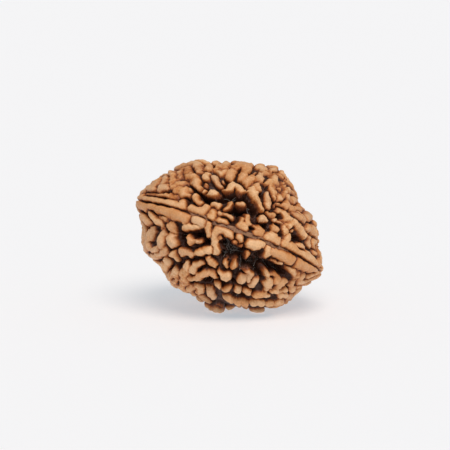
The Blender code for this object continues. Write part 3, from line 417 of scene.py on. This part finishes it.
def drawn(x, y):
    # the point of the body that the drawing's point lies on, seen from the eye
    eye = -sight * drawing["eyeDistance"]
    aim = (right * (x - drawing["middle"][0]) - upward * (y - drawing["middle"][1])) * square
    ray = unit(aim - eye)
    near, closest = 0.0, -eye @ ray
    if np.linalg.norm(eye + ray * closest) > np.linalg.norm(onBody(eye + ray * closest)):
        return onBody(eye + ray * closest)
    for _ in range(40):
        half = (near + closest) / 2
        p = eye + ray * half
        if np.linalg.norm(p) > np.linalg.norm(onBody(p)):
            near = half
        else:
            closest = half
    return eye + ray * near


# Lobes, each a lift and strokes of points and half widths in metres
def lobeOf(lift, *strokes):
    found = []
    for stroke in strokes:
        points = np.array([drawn(x, y) for x, y, _ in stroke])
        found.append((points, np.array([w for _, _, w in stroke]) * square))
    return lift * square, found


def overTheEdge(lobe, rng):
    # carries each stroke's first point on round the body, away from the eye
    g = grownLobes
    lift, strokes = lobe
    carried = []
    for points, widths in strokes:
        start = unit(points[0])
        away = unit(start - sight * (start @ sight))
        aside = np.cross(away, sight)
        lean = rng.normal() * g["edgeLean"]
        turn = math.acos(np.clip(start @ -sight, -1, 1))
        end = max(turn + g["edgeStep"], rng.uniform(*g["edgeReach"]))
        more = []
        while turn < end:
            turn += g["edgeStep"]
            away = unit(away + aside * lean)
            more.insert(0, onBody(-sight * math.cos(turn) + away * math.sin(turn)))
        moreWidths = np.linspace(g["edgeSpread"], 1, len(more)) * widths[0]
        carried.append((np.array([*more, *points]), np.concatenate([moreWidths, widths])))
    return lift, carried


def seamRing():
    # along the seam: as drawn across the front, then round the back in the same plane
    front = [drawn(x, y) for x, y in drawing["seam"]]
    left, end, middle = unit(front[0]), unit(front[-1]), unit(front[len(front) // 2])
    chord = unit(end - left)
    behind = unit(chord * (middle @ chord) - middle)
    start = math.atan2(end @ behind, end @ chord)
    stop = math.atan2(left @ behind, left @ chord) % (2 * math.pi)
    turns = np.linspace(start, stop, grownLobes["backSeamPoints"])
    back = [onBody(chord * math.cos(a) + behind * math.sin(a)) for a in turns[1:-1]]
    return np.array(front), np.array([front[-1], *back, front[0]])


def backLips(ring):
    g = grownLobes
    lobes = []
    for side, runs in g["backLipRuns"].items():
        for first, last in runs:
            path = []
            for k in range(first, last + 1):
                along = unit(ring[k + 1] - ring[k - 1])
                out = unit(np.cross(along, ring[k]))
                path.append(onBody(ring[k] + out * side * g["backLipSide"] * square))
            widths = np.full(len(path), g["backLipHalfWidth"] * square)
            lobes.append((g["backLipLift"] * square, [(np.array(path), widths)]))
    return lobes


def footLobe(stroke):
    below = np.array([(x, y, -stoneShape["standHeight"] - stoneShape["footReach"]) for x, y, _ in stroke])
    points = np.array([onBody(p) for p in below])
    lift = (np.linalg.norm(below, axis=1) - np.linalg.norm(points, axis=1)).mean()
    return lift, [(points, np.array([w for _, _, w in stroke]))]


def samples(points, widths):
    if len(points) == 1:
        return points, widths
    rows, spread = [], []
    for a, b, wa, wb in zip(points, points[1:], widths, widths[1:]):
        n = max(2, int(np.linalg.norm(b - a) / square))
        t = np.linspace(0, 1, n)[:, None]
        rows.append(a + t * (b - a))
        spread.append(wa + t[:, 0] * (wb - wa))
    return np.concatenate(rows), np.concatenate(spread)


def inDrawing(p):
    return unit(p) @ -sight > math.cos(grownLobes["edgeOfDrawing"])


def grow(lobes, hollows, rng):
    # fills the surface that the drawing leaves free: wide lobes, then narrow ones between them
    g = grownLobes
    taken = [samples(p, w) for _, strokes in lobes for p, w in strokes]
    taken += [samples(p, w * g["hollowFree"]) for p, w in hollows]
    takenPoints = np.concatenate([p for p, _ in taken])
    takenWidths = np.concatenate([w for _, w in taken])
    grown = []

    def blocked(p):
        return inDrawing(p) or (np.linalg.norm(takenPoints - p, axis=1) - takenWidths).min() < room

    for size in [g["wide"]] * g["wideTries"] + [g["narrow"]] * g["narrowTries"]:
        direction = unit(rng.normal(size=3))
        width = rng.uniform(*size) * square
        length = rng.uniform(*g["length"]) * square
        turn = rng.normal() * g["turn"]
        lift = rng.normal() * g["liftSpread"] * square
        heading = unit(np.cross(direction, rng.normal(size=3)))
        room = width + g["gap"] * square
        p = onBody(direction)
        if blocked(p):
            continue
        path = [p]
        while len(path) * g["step"] * square < length:
            normal = unit(path[-1])
            heading = unit(heading - normal * (heading @ normal))
            heading = unit(heading + np.cross(normal, heading) * math.tan(turn / 2))
            p = onBody(path[-1] + heading * g["step"] * square)
            if blocked(p):
                break
            path.append(p)
        spread = rng.normal(size=len(path)).clip(-g["widthLimit"], g["widthLimit"])
        widths = width * (1 + g["widthSpread"] * spread)
        grown.append((lift, [(np.array(path), widths)]))
        newPoints, newWidths = samples(np.array(path), widths)
        takenPoints = np.concatenate([takenPoints, newPoints])
        takenWidths = np.concatenate([takenWidths, newWidths])
    return grown


def growHollows(rng):
    g = grownLobes
    nearDrawing = math.cos(g["edgeOfDrawing"] + g["hollowMargin"])
    hollows = []
    while len(hollows) < g["hollows"]:
        direction = unit(rng.normal(size=3))
        heading = unit(np.cross(direction, rng.normal(size=3)))
        width = rng.uniform(*g["hollowWidth"]) * square
        length = rng.uniform(*g["hollowLength"]) * square
        if direction @ -sight > nearDrawing or direction[2] < g["lowestHollow"]:
            continue
        middle = onBody(direction)
        points = np.array([onBody(middle + heading * length * t) for t in (-0.5, 0, 0.5)])
        hollows.append((points, width * np.array(g["hollowTaper"])))
    return hollows


def wholeStone():
    frontSeam, backSeam = seamRing()
    lobes = [footLobe(stroke) for stroke in drawing["feet"]]
    lobes += [lobeOf(*lobe) for lobe in drawing["lips"] + drawing["faceLobes"]]
    rng = np.random.default_rng(stoneShape["seed"])
    lobes += [overTheEdge(lobeOf(*lobe), rng) for lobe in drawing["edgeLobes"]]
    lobes += backLips(backSeam)
    unseen = growHollows(rng)
    lobes += grow(lobes, unseen, rng)
    hollows = [lobeOf(0, stroke)[1][0] for stroke in drawing["hollows"]] + unseen
    return lobes, hollows, np.concatenate([frontSeam, backSeam[1:]])


# The relief, as a height over the body at each point
def strokeGap(points, path, widths):
    best = np.full(len(points), 1.0)
    width = np.full(len(points), widths[0])
    if len(path) == 1:
        return np.linalg.norm(points - path[0], axis=1) - widths[0], width
    for a, b, wa, wb in zip(path, path[1:], widths, widths[1:]):
        along = b - a
        t = np.clip((points - a) @ along / max(along @ along, 1e-12), 0, 1)
        w = wa + t * (wb - wa)
        gap = np.linalg.norm(points - a - t[:, None] * along, axis=1) - w
        closer = gap < best
        best = np.where(closer, gap, best)
        width = np.where(closer, w, width)
    return best, width


def nearby(surface, path, margin):
    low, high = path.min(axis=0) - margin, path.max(axis=0) + margin
    return np.nonzero(((surface > low) & (surface < high)).all(axis=1))[0]


def lobeFields(surface, lobes):
    # gap to the nearest lobe, to the next one and to the nearest one's own next stroke, and the
    # nearest one's half width, lift and number
    count = len(surface)
    first, second, fork = np.full(count, far), np.full(count, far), np.full(count, 2 * far)
    width, lift = np.full(count, stoneShape["shoulder"]), np.zeros(count)
    owner = np.zeros(count, int)
    for number, (raised, strokes) in enumerate(lobes):
        near = nearby(surface, np.concatenate([p for p, _ in strokes]), far + strokes[0][1].max())
        if not len(near):
            continue
        gap, half = np.full(len(near), far), np.full(len(near), stoneShape["shoulder"])
        ownNext = np.full(len(near), 2 * far)
        for path, widths in strokes:
            g, w = strokeGap(surface[near], path, widths)
            half = np.where(g < gap, w, half)
            ownNext = np.where(g < gap, gap, np.minimum(ownNext, g))
            gap = np.minimum(gap, g)
        ahead = gap < first[near]
        second[near] = np.where(ahead, first[near], np.minimum(second[near], gap))
        for field, own in ((fork, ownNext), (first, gap), (width, half), (lift, raised), (owner, number)):
            field[near] = np.where(ahead, own, field[near])
    return first, second, fork, width, lift, owner


def hollowness(surface, hollows):
    deep = np.zeros(len(surface))
    edge = stoneShape["hollowEdge"] * square
    for path, widths in hollows:
        near = nearby(surface, path, widths.max() + edge)
        gap, _ = strokeGap(surface[near], path, widths)
        deep[near] = np.maximum(deep[near], smoothStep(0.5 - gap / edge))
    return deep


def relief(surface, lobes, hollows, seam):
    s = stoneShape
    facing = unit(surface) @ -sight
    beyond = stepUp(facing, *s["beyond"])
    middle = stepUp(abs(facing), *s["middle"])
    atEdge = stepUp(abs(facing), *s["edge"])
    seamGap, _ = strokeGap(surface, seam, np.zeros(len(seam)))
    rough = 1 - s["calm"] * smoothStep(1.5 - seamGap / (s["calmReach"] * square))
    rough *= 1 - s["calmAtEdge"] * atEdge

    # the drawing is read a little to one side, so that no lobe is straight
    warped = surface + beyond[:, None] * shifted(surface, *grownLobes["wander"])
    for layer in s["uneven"]:
        warped += rough[:, None] * shifted(surface, *layer)
    first, second, fork, width, lift, owner = lobeFields(warped, lobes)
    hollow = hollowness(surface + shifted(surface, *s["hollowShift"]), hollows)

    # lobes swell until they meet
    swell = s["swell"] + beyond * s["swellBeyond"] + middle * (s["swellInMiddle"] - s["swell"])
    swell += atEdge * (1 - beyond) * s["swellAtEdge"]
    swell = (swell + (s["swellInHollow"] - swell) * hollow) * square
    crooked = lumpy(surface, *s["crooked"])
    start, reach = s["fork"]
    forked = (fork - first) / 2 + s["shoulder"] * stepUp(first, start * square, reach * square)
    first, second, width = first - swell, second - swell, width + swell
    between = (second - first) / 2 + crooked
    inside = np.minimum(np.minimum(-first, forked), between)
    inside += np.minimum(lumpy(surface, *s["ragged"], share=rough), 0)

    # and here and there they have grown together
    wave, seed = s["joinWave"]
    joined = stepUp(unevenness(surface, wave * square, seed), *s["join"])
    joined *= (-first > between) * (1 - s["joinKeep"]) * (1 - s["joinLessAtEdge"] * atEdge)

    # a rounded edge and a crown on each lobe, and cracks, clefts and hollows between them
    shoulder = s["shoulder"] + middle * (s["shoulderInMiddle"] - s["shoulder"])
    atSeam = stepUp(seamGap / square, *s["lipReach"])
    shoulder = np.minimum(width, shoulder + atSeam * (s["lipShoulder"] - shoulder))
    m = np.clip(inside, 0, shoulder)
    drop = shoulder - np.sqrt(shoulder**2 - (shoulder - m) ** 2)
    crown = s["crown"] + middle * (s["crownInMiddle"] - s["crown"])
    crown *= width * np.clip(1 + first / width, 0, 1) ** 2
    crack = s["crackDepth"] * np.clip(1 - inside / s["crackWidth"], 0, 1) ** 2
    top = lift - (drop + crack * (first < 0)) * (1 - joined) - crown
    fall = smoothStep(first / s["cleftWall"])
    height = top + (np.minimum(top, lift - s["cleftDepth"]) - top) * fall
    height -= hollow * s["hollowDepth"] * smoothStep(first / s["hollowWall"])
    for layer in s["lumps"]:
        height += lumpy(surface, *layer, share=rough)
    height += lumpy(surface, *s["crumbs"], share=hollow)

    # the seam, and the band of fibres in it
    b = seamBand
    seamGap, _ = strokeGap(warped, seam, np.zeros(len(seam)))
    across = surface @ right / square + drawing["middle"][0]
    start, end = b["reach"]
    band = stepUp(across, start, b["fade"]) * stepUp(across, end, -b["fade"]) * (facing > b["facing"])
    band *= smoothStep(1.5 - seamGap / (b["width"] * square))
    strands = np.abs(np.sin(seamGap / (b["strandGap"] * square) * math.pi + b["strandPhase"]))
    wave, seed = b["waves"]
    strands += b["waveShare"] * unevenness(surface, wave * square, seed)
    filled = lift / 2 - b["depth"] + b["strandHeight"] * strands
    band *= smoothStep((filled - height) / b["edge"])
    height += band * (filled - height)
    height -= (1 - b["fills"] * band) * s["seamDepth"] * np.exp(-((seamGap / s["seamWidth"]) ** 2))
    return height, {
        "inside": inside + joined * s["joinDepth"],
        "outside": first,
        "hollow": hollow,
        "owner": owner,
        "seam": seamGap,
        "suture": band,
        "middle": middle,
    }


# The fine stone
def newObject(name, data):
    made = bpy.data.objects.new(name, data)
    bpy.context.scene.collection.objects.link(made)
    return made


def settle(piece, modifier):
    # makes what a modifier gives the piece's own mesh
    evaluated = piece.evaluated_get(bpy.context.evaluated_depsgraph_get())
    piece.data = bpy.data.meshes.new_from_object(evaluated)
    piece.modifiers.remove(modifier)


def makeStone():
    stone = wholeStone()
    print("stone:", len(stone[0]), "lobes,", len(stone[1]), "hollows")
    bm = bmesh.new()
    level = stoneShape["subdivisions"]
    bmesh.ops.create_icosphere(bm, subdivisions=level, radius=1.0)
    directions = unit(np.array([v.co for v in bm.verts]))
    surface = directions * bodyRadius(directions)[:, None]
    height, _ = relief(surface, *stone)
    points = surface + directions * height[:, None]
    mesh = bpy.data.meshes.new("fineStone")
    bm.to_mesh(mesh)
    bm.free()
    mesh.vertices.foreach_set("co", points.astype(np.float32).ravel())
    piece = newObject("fineStone", mesh)
    most = stoneShape["mostTriangles"]
    if len(mesh.polygons) > most:
        fewer = piece.modifiers.new("fewer", "DECIMATE")
        fewer.ratio = most / len(mesh.polygons)
        settle(piece, fewer)
    print("stone:", len(piece.data.polygons), "triangles")
    return piece, stone


def pointsOf(mesh):
    flat = np.empty(len(mesh.vertices) * 3, np.float32)
    mesh.vertices.foreach_get("co", flat)
    return flat.reshape(-1, 3).astype(float)


def blurred(values, edges, rounds):
    # spreads each vertex's value to its neighbours, again and again
    ends = np.concatenate([edges, edges[:, ::-1]])
    count = np.bincount(ends[:, 0], minlength=len(values))
    for _ in range(rounds):
        total = np.bincount(ends[:, 0], weights=values[ends[:, 1]], minlength=len(values))
        values = (values + total / np.maximum(count, 1)) / 2
    return values


def standOnFloor(piece, middle):
    bm = bmesh.new()
    bm.from_mesh(piece.data)
    bmesh.ops.translate(bm, verts=bm.verts, vec=middle)
    everything = bm.verts[:] + bm.edges[:] + bm.faces[:]
    bmesh.ops.bisect_plane(bm, geom=everything, dist=1e-7, plane_co=(0, 0, 0), plane_no=(0, 0, 1),
                           clear_inner=True)
    bmesh.ops.holes_fill(bm, edges=[e for e in bm.edges if e.is_boundary])
    bmesh.ops.triangulate(bm, faces=[f for f in bm.faces if len(f.verts) > 3])
    bm.to_mesh(piece.data)
    bm.free()


paint = {  # how the finish reads the shape
    "wideRounds": 120,  # of blurring, for how deep a place lies
    "stainRounds": 50,
    "hollowGain": 1.6,
    "floorRange": 0.0002,  # how far outside the lobes a hollow's floor begins
    "floorFrom": 0.7,
    "insideLimit": 0.001,
    "seamLimit": 0.002,
    "tintSeed": 5,
}


def paintStone(piece, stone, middle):
    mesh = piece.data
    points = pointsOf(mesh) - np.array(middle)
    directions = unit(points)
    body = bodyRadius(directions)
    _, found = relief(directions * body[:, None], *stone)
    height = np.linalg.norm(points, axis=1) - body
    edges = np.empty(len(mesh.edges) * 2, np.int32)
    mesh.edges.foreach_get("vertices", edges)
    edges = edges.reshape(-1, 2)
    floor = smoothStep(found["outside"] / paint["floorRange"] - paint["floorFrom"])
    dark = smoothStep(found["hollow"] * paint["hollowGain"]) * floor * (1 - found["suture"])
    limit, mm = paint["insideLimit"], 1000
    values = {
        # how deep a place lies among its neighbours; the finish darkens deep places by it, partly as painted
        # shade
        "cavity": (blurred(height, edges, paint["wideRounds"]) - height) * mm,
        "inside": np.clip(found["inside"], -limit, limit) * mm,
        "hollow": dark,
        "stain": blurred(dark, edges, paint["stainRounds"]),
        "lobeTint": np.random.default_rng(paint["tintSeed"]).uniform(0, 1, len(stone[0]))[found["owner"]],
        "seam": np.clip(found["seam"], 0, paint["seamLimit"]) * mm,
        "suture": found["suture"],
        "middle": found["middle"],
    }
    for name, column in values.items():
        layer = mesh.attributes.new(name, "FLOAT", "POINT")
        layer.data.foreach_set("value", column.astype(np.float32))
    print("paint:", ", ".join(values))


stonePiece, stoneFields = makeStone()
rawPoints = pointsOf(stonePiece.data)
rawMiddle = (rawPoints.min(axis=0) + rawPoints.max(axis=0)) / 2
stoneMiddle = Vector((-rawMiddle[0], -rawMiddle[1], stoneShape["standHeight"]))
standOnFloor(stonePiece, stoneMiddle)
paintStone(stonePiece, stoneFields, stoneMiddle)
stonePiece.data.shade_smooth()


def srgb(r, g, b):
    # a colour as read off a screen, from 0 to 255, in the shader's own scale
    scaled = [c / 255 for c in (r, g, b)]
    return [c / 12.92 if c < 0.04045 else ((c + 0.055) / 1.055) ** 2.4 for c in scaled] + [1.0]


# Finish
stoneFinish = {
    # the tones darken from the tops into the recesses: partly the stone's own colour, partly painted shade
    "tones": (  # from the tops of the lobes down to the floor of the hollows
        (0.00, srgb(238, 187, 137)),
        (0.16, srgb(222, 160, 103)),
        (0.34, srgb(197, 122, 62)),
        (0.54, srgb(160, 86, 37)),
        (0.78, srgb(114, 57, 26)),
        (1.05, srgb(66, 33, 18)),
    ),
    "darkest": 1.05,
    "pale": srgb(210, 166, 130),
    "orange": srgb(208, 136, 76),
    "residue": srgb(48, 27, 17),
    "fluff": srgb(90, 62, 45),
    "suture": srgb(178, 128, 90),
    "sutureDark": srgb(96, 56, 36),
    "cleft": srgb(76, 38, 20),
    # noise's scale, detail and roughness, the part of it that counts, and what that becomes
    "patches": (520, 4, 0.6, 0.3, 0.7, -0.10, 0.14),
    "crumbs": (4300, 3, 0.6, 0.45, 0.68, -0.05, 0.42),
    "soaked": (1500, 4, 0.7, 0.25, 0.7, 0.5, 1.15),
    "charcoal": (3600, 5, 0.7, 0.45, 0.75),
    "grain": (5200, 4, 0.65, 0.3, 0.72, 0.86, 1.07),
    "strands": (2600, 4, 0.7, 0.35, 0.75),
    # an attribute, the part of it that counts, and what that becomes
    # the deeper a place lies among its neighbours, the darker: partly the stone's own colour, partly painted
    # shade
    "flankStainAndShade": ("cavity", -0.36, 0.42, 0, 0.90),
    # darker towards each lobe's edge, into the cracks between lobes: partly dark brown in the clefts, partly
    # painted shade
    "thinEdgeStainAndShade": ("inside", 0.20, -0.06, 0, 0.54),
    "broadEdgeStainAndShade": ("inside", 0.42, -0.06, 0, 0.54),
    "stained": ("stain", 0, 0.35, 0, 0.3),
    "deep": ("hollow", 0.35, 0.9, 0, 0.5),
    "paleLobes": ("lobeTint", 0.6, 1, 0, 0.35),
    "orangeLobes": ("lobeTint", 0.45, 0, 0, 0.5),
    "floor": ("hollow", 0.6, 0.98, 0, 0.85),
    "band": ("suture", 0.3, 0.9, 0, 0.8),
    "seamLine": ("seam", 0.15, 0.03, 0, 0.85),
    "seamInBand": ("suture", 0.2, 0.9, 1, 0.35),
    "crumbsWhere": (-0.3, 0.4, 0.15, 1),
    "tintFades": (0.5, 0.1),
    "roughness": 0.5,
    "specular": 0.4,
    "bump": (2600, 5, 0.6),
    "fineBump": (9000, 3),
    "fineBumpShare": 0.4,
    "bumpStrength": 0.6,
    "bumpDistance": 0.00008,
}


def newMaterial(name):
    material = bpy.data.materials.new(name)
    material.use_nodes = True
    nodes, links = material.node_tree.nodes, material.node_tree.links
    return material, nodes, links, nodes["Principled BSDF"]


def attributeNode(nodes, name):
    node = nodes.new("ShaderNodeAttribute")
    node.attribute_name = name
    return node.outputs["Fac"]


def noiseNode(nodes, links, scale, detail=3, roughness=0.55):
    place = nodes.new("ShaderNodeTexCoord")
    noise = nodes.new("ShaderNodeTexNoise")
    for socket, number in (("Scale", scale), ("Detail", detail), ("Roughness", roughness)):
        noise.inputs[socket].default_value = number
    links.new(place.outputs["Object"], noise.inputs["Vector"])
    return noise.outputs["Fac"]


def rangeNode(nodes, links, value, low, high, toLow=0.0, toHigh=1.0):
    node = nodes.new("ShaderNodeMapRange")
    node.interpolation_type = "SMOOTHSTEP"
    for socket, number in (("From Min", low), ("From Max", high), ("To Min", toLow), ("To Max", toHigh)):
        node.inputs[socket].default_value = number
    links.new(value, node.inputs["Value"])
    return node.outputs["Result"]


def feed(links, socket, value):
    # gives a socket a plain value, another node's output, or the first output of a node
    if isinstance(value, bpy.types.Node):
        value = value.outputs[0]
    if isinstance(value, bpy.types.NodeSocket):
        links.new(value, socket)
    else:
        socket.default_value = value


def mixNode(nodes, links, factor, first, second, blend="MIX"):
    node = nodes.new("ShaderNodeMix")
    node.data_type = "RGBA"
    node.blend_type = blend
    for socket, value in ((0, factor), (6, first), (7, second)):  # the mix's sockets for colours
        feed(links, node.inputs[socket], value)
    return node.outputs[2]


def mathNode(nodes, links, operation, first, second):
    node = nodes.new("ShaderNodeMath")
    node.operation = operation
    feed(links, node.inputs[0], first)
    feed(links, node.inputs[1], second)
    return node.outputs[0]


def makeStoneMaterial():
    f = stoneFinish
    material, nodes, links, shader = newMaterial("rudrakshaStone")
    noise = partial(noiseNode, nodes, links)
    ranged = partial(rangeNode, nodes, links)
    mix = partial(mixNode, nodes, links)
    maths = partial(mathNode, nodes, links)

    def speckle(name):
        return ranged(noise(*f[name][:3]), *f[name][3:])

    def fromShape(name):
        return ranged(attributeNode(nodes, f[name][0]), *f[name][1:])

    # how dark: down the flanks and in the lines between lobes, partly the stone's own colour and partly
    # painted shade in the recesses, then round the hollows and in them
    middle = attributeNode(nodes, "middle")
    # painted shade, with the clefts' own dark brown, along each lobe's edge
    line = maths("ADD", maths("MULTIPLY", fromShape("broadEdgeStainAndShade"), middle),
                 maths("MULTIPLY", fromShape("thinEdgeStainAndShade"), maths("SUBTRACT", 1.0, middle)))
    low = maths("ADD", attributeNode(nodes, "cavity"), attributeNode(nodes, "stain"))
    crumbs = maths("MULTIPLY", speckle("crumbs"), ranged(low, *f["crumbsWhere"]))
    stained = maths("MULTIPLY", fromShape("stained"), speckle("soaked"))
    tone = speckle("patches")
    for part in (fromShape("flankStainAndShade"), line, crumbs, stained, fromShape("deep")):
        tone = maths("ADD", tone, part)
    ramp = nodes.new("ShaderNodeValToRGB")
    stops = ramp.color_ramp.elements
    for number, (place, shade) in enumerate(f["tones"]):
        stop = stops[number] if number < 2 else stops.new(place)
        stop.position, stop.color = place / f["darkest"], shade
    links.new(maths("DIVIDE", tone, f["darkest"]), ramp.inputs["Fac"])
    colour = ramp.outputs["Color"]
    # some lobes are paler and greyer, others more orange
    light = ranged(tone, *f["tintFades"])
    colour = mix(maths("MULTIPLY", fromShape("paleLobes"), light), colour, f["pale"])
    colour = mix(maths("MULTIPLY", fromShape("orangeLobes"), light), colour, f["orange"])
    # charcoal residue on the floor of the hollows
    colour = mix(fromShape("floor"), colour, mix(speckle("charcoal"), f["residue"], f["fluff"]))
    grain = nodes.new("ShaderNodeCombineColor")
    grey = speckle("grain")
    for socket in ("Red", "Green", "Blue"):
        links.new(grey, grain.inputs[socket])
    colour = mix(1.0, colour, grain.outputs["Color"], "MULTIPLY")
    # the seam, and the fibrous band that fills part of it
    colour = mix(fromShape("band"), colour, mix(speckle("strands"), f["suture"], f["sutureDark"]))
    seamLine = maths("MULTIPLY", fromShape("seamLine"), fromShape("seamInBand"))
    links.new(mix(seamLine, colour, f["cleft"]), shader.inputs["Base Color"])
    shader.inputs["Roughness"].default_value = f["roughness"]
    shader.inputs["Specular IOR Level"].default_value = f["specular"]

    fine = maths("MULTIPLY", noise(*f["fineBump"]), f["fineBumpShare"])
    bump = nodes.new("ShaderNodeBump")
    bump.inputs["Strength"].default_value = f["bumpStrength"]
    bump.inputs["Distance"].default_value = f["bumpDistance"]
    links.new(maths("ADD", noise(*f["bump"]), fine), bump.inputs["Height"])
    links.new(bump.outputs["Normal"], shader.inputs["Normal"])
    return material


# Stray fibres of the dried flesh, caught in the hollows
fibres = {
    "Density": 1.6e6,  # per square metre of hollow
    "Length": 0.0018,
    "Thickness": 0.000023,
    "Arch": 0.00035,
    "Wander": 0.0006,
    "Seed": 4,
    "hollowFrom": 0.62,  # how deep in a hollow its root may be
    "lean": 0.35,
    "stretch": (0.45, 1.5),
    "waves": 1100,  # of the wandering, to the metre
    "points": 9,
    "sides": 3,
    "colour": srgb(186, 176, 168),
    "darkColour": srgb(74, 58, 48),
    "shades": (900, 2),
    "shadesFrom": (0.3, 0.7),
    "roughness": 0.7,
}


def makeFibreMaterial():
    material, nodes, links, shader = newMaterial("strayFibre")
    shade = rangeNode(nodes, links, noiseNode(nodes, links, *fibres["shades"]), *fibres["shadesFrom"])
    colour = mixNode(nodes, links, shade, fibres["colour"], fibres["darkColour"])
    links.new(colour, shader.inputs["Base Color"])
    shader.inputs["Roughness"].default_value = fibres["roughness"]
    return material


def fibreTree(material):
    f = fibres
    tree = bpy.data.node_groups.new("fibresInHollows", "GeometryNodeTree")
    for name in ("Geometry", "Density", "Length", "Thickness", "Arch", "Wander", "Seed"):
        kind = {"Geometry": "Geometry", "Seed": "Int"}.get(name, "Float")
        tree.interface.new_socket(name, in_out="INPUT", socket_type="NodeSocket" + kind)
    tree.interface.new_socket("Geometry", in_out="OUTPUT", socket_type="NodeSocketGeometry")
    nodes, links = tree.nodes, tree.links
    given = nodes.new("NodeGroupInput").outputs

    def node(kind, settings=None, **sockets):
        made = nodes.new(kind)
        for key, value in (settings or {}).items():
            setattr(made, key, value)
        for key, value in sockets.items():
            feed(links, made.inputs[key.replace("_", " ")], value)
        return made

    hollow = node("GeometryNodeInputNamedAttribute", Name="hollow")
    inHollow = node("FunctionNodeCompare", {"data_type": "FLOAT", "operation": "GREATER_THAN"},
                    A=hollow, B=f["hollowFrom"])
    roots = node("GeometryNodeDistributePointsOnFaces", Mesh=given["Geometry"], Selection=inHollow,
                 Density=given["Density"], Seed=given["Seed"])
    # one fibre lies along X and arches up a little; each copy is turned and stretched
    start, end = (node("ShaderNodeCombineXYZ", X=mathNode(nodes, links, "MULTIPLY", given["Length"], half))
                  for half in (-0.5, 0.5))
    line = node("GeometryNodeCurveQuadraticBezier", Resolution=f["points"], Start=start,
                Middle=node("ShaderNodeCombineXYZ", Z=given["Arch"]), End=end)
    lean = f["lean"]
    spin = node("FunctionNodeRandomValue", {"data_type": "FLOAT_VECTOR"}, Seed=given["Seed"])
    spin.inputs[0].default_value = (-lean, -lean, 0.0)
    spin.inputs[1].default_value = (lean, lean, 2 * math.pi)
    turned = node("FunctionNodeRotateRotation", {"rotation_space": "LOCAL"},
                  Rotation=roots.outputs["Rotation"],
                  Rotate_By=node("FunctionNodeEulerToRotation", Euler=spin))
    stretch = node("FunctionNodeRandomValue", Seed=given["Seed"])
    stretch.inputs[2].default_value, stretch.inputs[3].default_value = f["stretch"]
    placed = node("GeometryNodeInstanceOnPoints", Points=roots, Instance=line, Rotation=turned,
                  Scale=stretch.outputs[1])
    # each one wanders its own way
    wave = node("ShaderNodeTexNoise", Vector=node("GeometryNodeInputPosition"), Scale=f["waves"], Detail=1)
    centred = node("ShaderNodeVectorMath", {"operation": "SUBTRACT"})
    links.new(wave.outputs["Color"], centred.inputs[0])
    centred.inputs[1].default_value = (0.5, 0.5, 0.5)
    offset = node("ShaderNodeVectorMath", {"operation": "SCALE"}, Scale=given["Wander"])
    feed(links, offset.inputs[0], centred)
    moved = node("GeometryNodeSetPosition", Geometry=node("GeometryNodeRealizeInstances", Geometry=placed),
                 Offset=offset)
    profile = node("GeometryNodeCurvePrimitiveCircle", Resolution=f["sides"], Radius=given["Thickness"])
    tubes = node("GeometryNodeCurveToMesh", Curve=moved, Profile_Curve=profile, Fill_Caps=True)
    real = node("GeometryNodeRealizeInstances", Geometry=tubes)
    finished = node("GeometryNodeSetMaterial", Geometry=real, Material=material)
    links.new(finished.outputs[0], nodes.new("NodeGroupOutput").inputs[0])
    return tree


def makeFibres():
    piece = newObject("hollowFibres", stonePiece.data.copy())
    modifier = piece.modifiers.new("fibres", "NODES")
    modifier.node_group = fibreTree(makeFibreMaterial())
    for socket in modifier.node_group.interface.items_tree:
        if socket.in_out == "INPUT" and socket.name in fibres:
            modifier[socket.identifier] = fibres[socket.name]
    settle(piece, modifier)
    print("fibres:", len(piece.data.polygons), "faces")
    return piece


stonePiece.data.materials.append(makeStoneMaterial())
fibrePiece = makeFibres()
for piece in (stonePiece, fibrePiece):
    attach(piece, "root")
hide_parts(stoneNode)

# Floor, light and camera
studio = {
    "floorSize": 6.0,
    "floorColour": (0.59, 0.52, 0.48, 1.0),
    "floorGlow": (0.40, 0.455, 0.50, 1.0),  # the floor glows as well: painted light, bluish against the reddish base colour, which keeps the shadow light and neutral
    "floorRoughness": 0.8,
    "worldColour": (0.97, 0.985, 1.0, 1.0),
    "worldStrength": 0.36,
    "sunColour": (1.0, 0.985, 0.96),
    "sunStrength": 1.9,
    "sunAngle": math.radians(40),
    "sunFrom": (0.15, -0.55, 1.0),
    "sensorWidth": 36.0,
    "clipStart": 0.01,
}


def makeFloor():
    s = studio["floorSize"] / 2
    mesh = bpy.data.meshes.new("floor")
    mesh.from_pydata([(-s, -s, 0), (s, -s, 0), (s, s, 0), (-s, s, 0)], [], [(0, 1, 2, 3)])
    floor = newObject("floor", mesh)
    material, _, _, shader = newMaterial("paleFloor")
    shader.inputs["Base Color"].default_value = studio["floorColour"]
    shader.inputs["Roughness"].default_value = studio["floorRoughness"]
    # painted light: the floor glows, which lightens the shadow on it
    shader.inputs["Emission Color"].default_value = studio["floorGlow"]
    shader.inputs["Emission Strength"].default_value = 1.0
    mesh.materials.append(material)


def makeLight():
    world = bpy.data.worlds.new("studio")
    world.use_nodes = True
    background = world.node_tree.nodes["Background"]
    background.inputs["Color"].default_value = studio["worldColour"]
    background.inputs["Strength"].default_value = studio["worldStrength"]
    bpy.context.scene.world = world
    sun = bpy.data.lights.new("softKey", "SUN")
    sun.energy = studio["sunStrength"]
    sun.color = studio["sunColour"]
    sun.angle = studio["sunAngle"]
    lamp = newObject("softKey", sun)
    lamp.rotation_euler = Vector(studio["sunFrom"]).to_track_quat("Z", "Y").to_euler()


def makeCamera():
    eye = stoneMiddle - Vector(sight) * drawing["eyeDistance"]
    across, down = np.subtract(drawing["pageMiddle"], drawing["middle"]) * square
    aim = stoneMiddle + Vector(right) * across - Vector(upward) * down
    data = bpy.data.cameras.new("camera")
    data.sensor_width = studio["sensorWidth"]
    data.lens = studio["sensorWidth"] * drawing["eyeDistance"] / (drawing["pageWidth"] * square)
    data.clip_start = studio["clipStart"]
    camera = newObject("camera", data)
    camera.location = eye
    camera.rotation_euler = (aim - eye).to_track_quat("-Z", "Y").to_euler()
    bpy.context.scene.camera = camera


makeFloor()
makeLight()
makeCamera()
bpy.context.scene.view_settings.view_transform = "Standard"
print("studio: floor, light and camera")
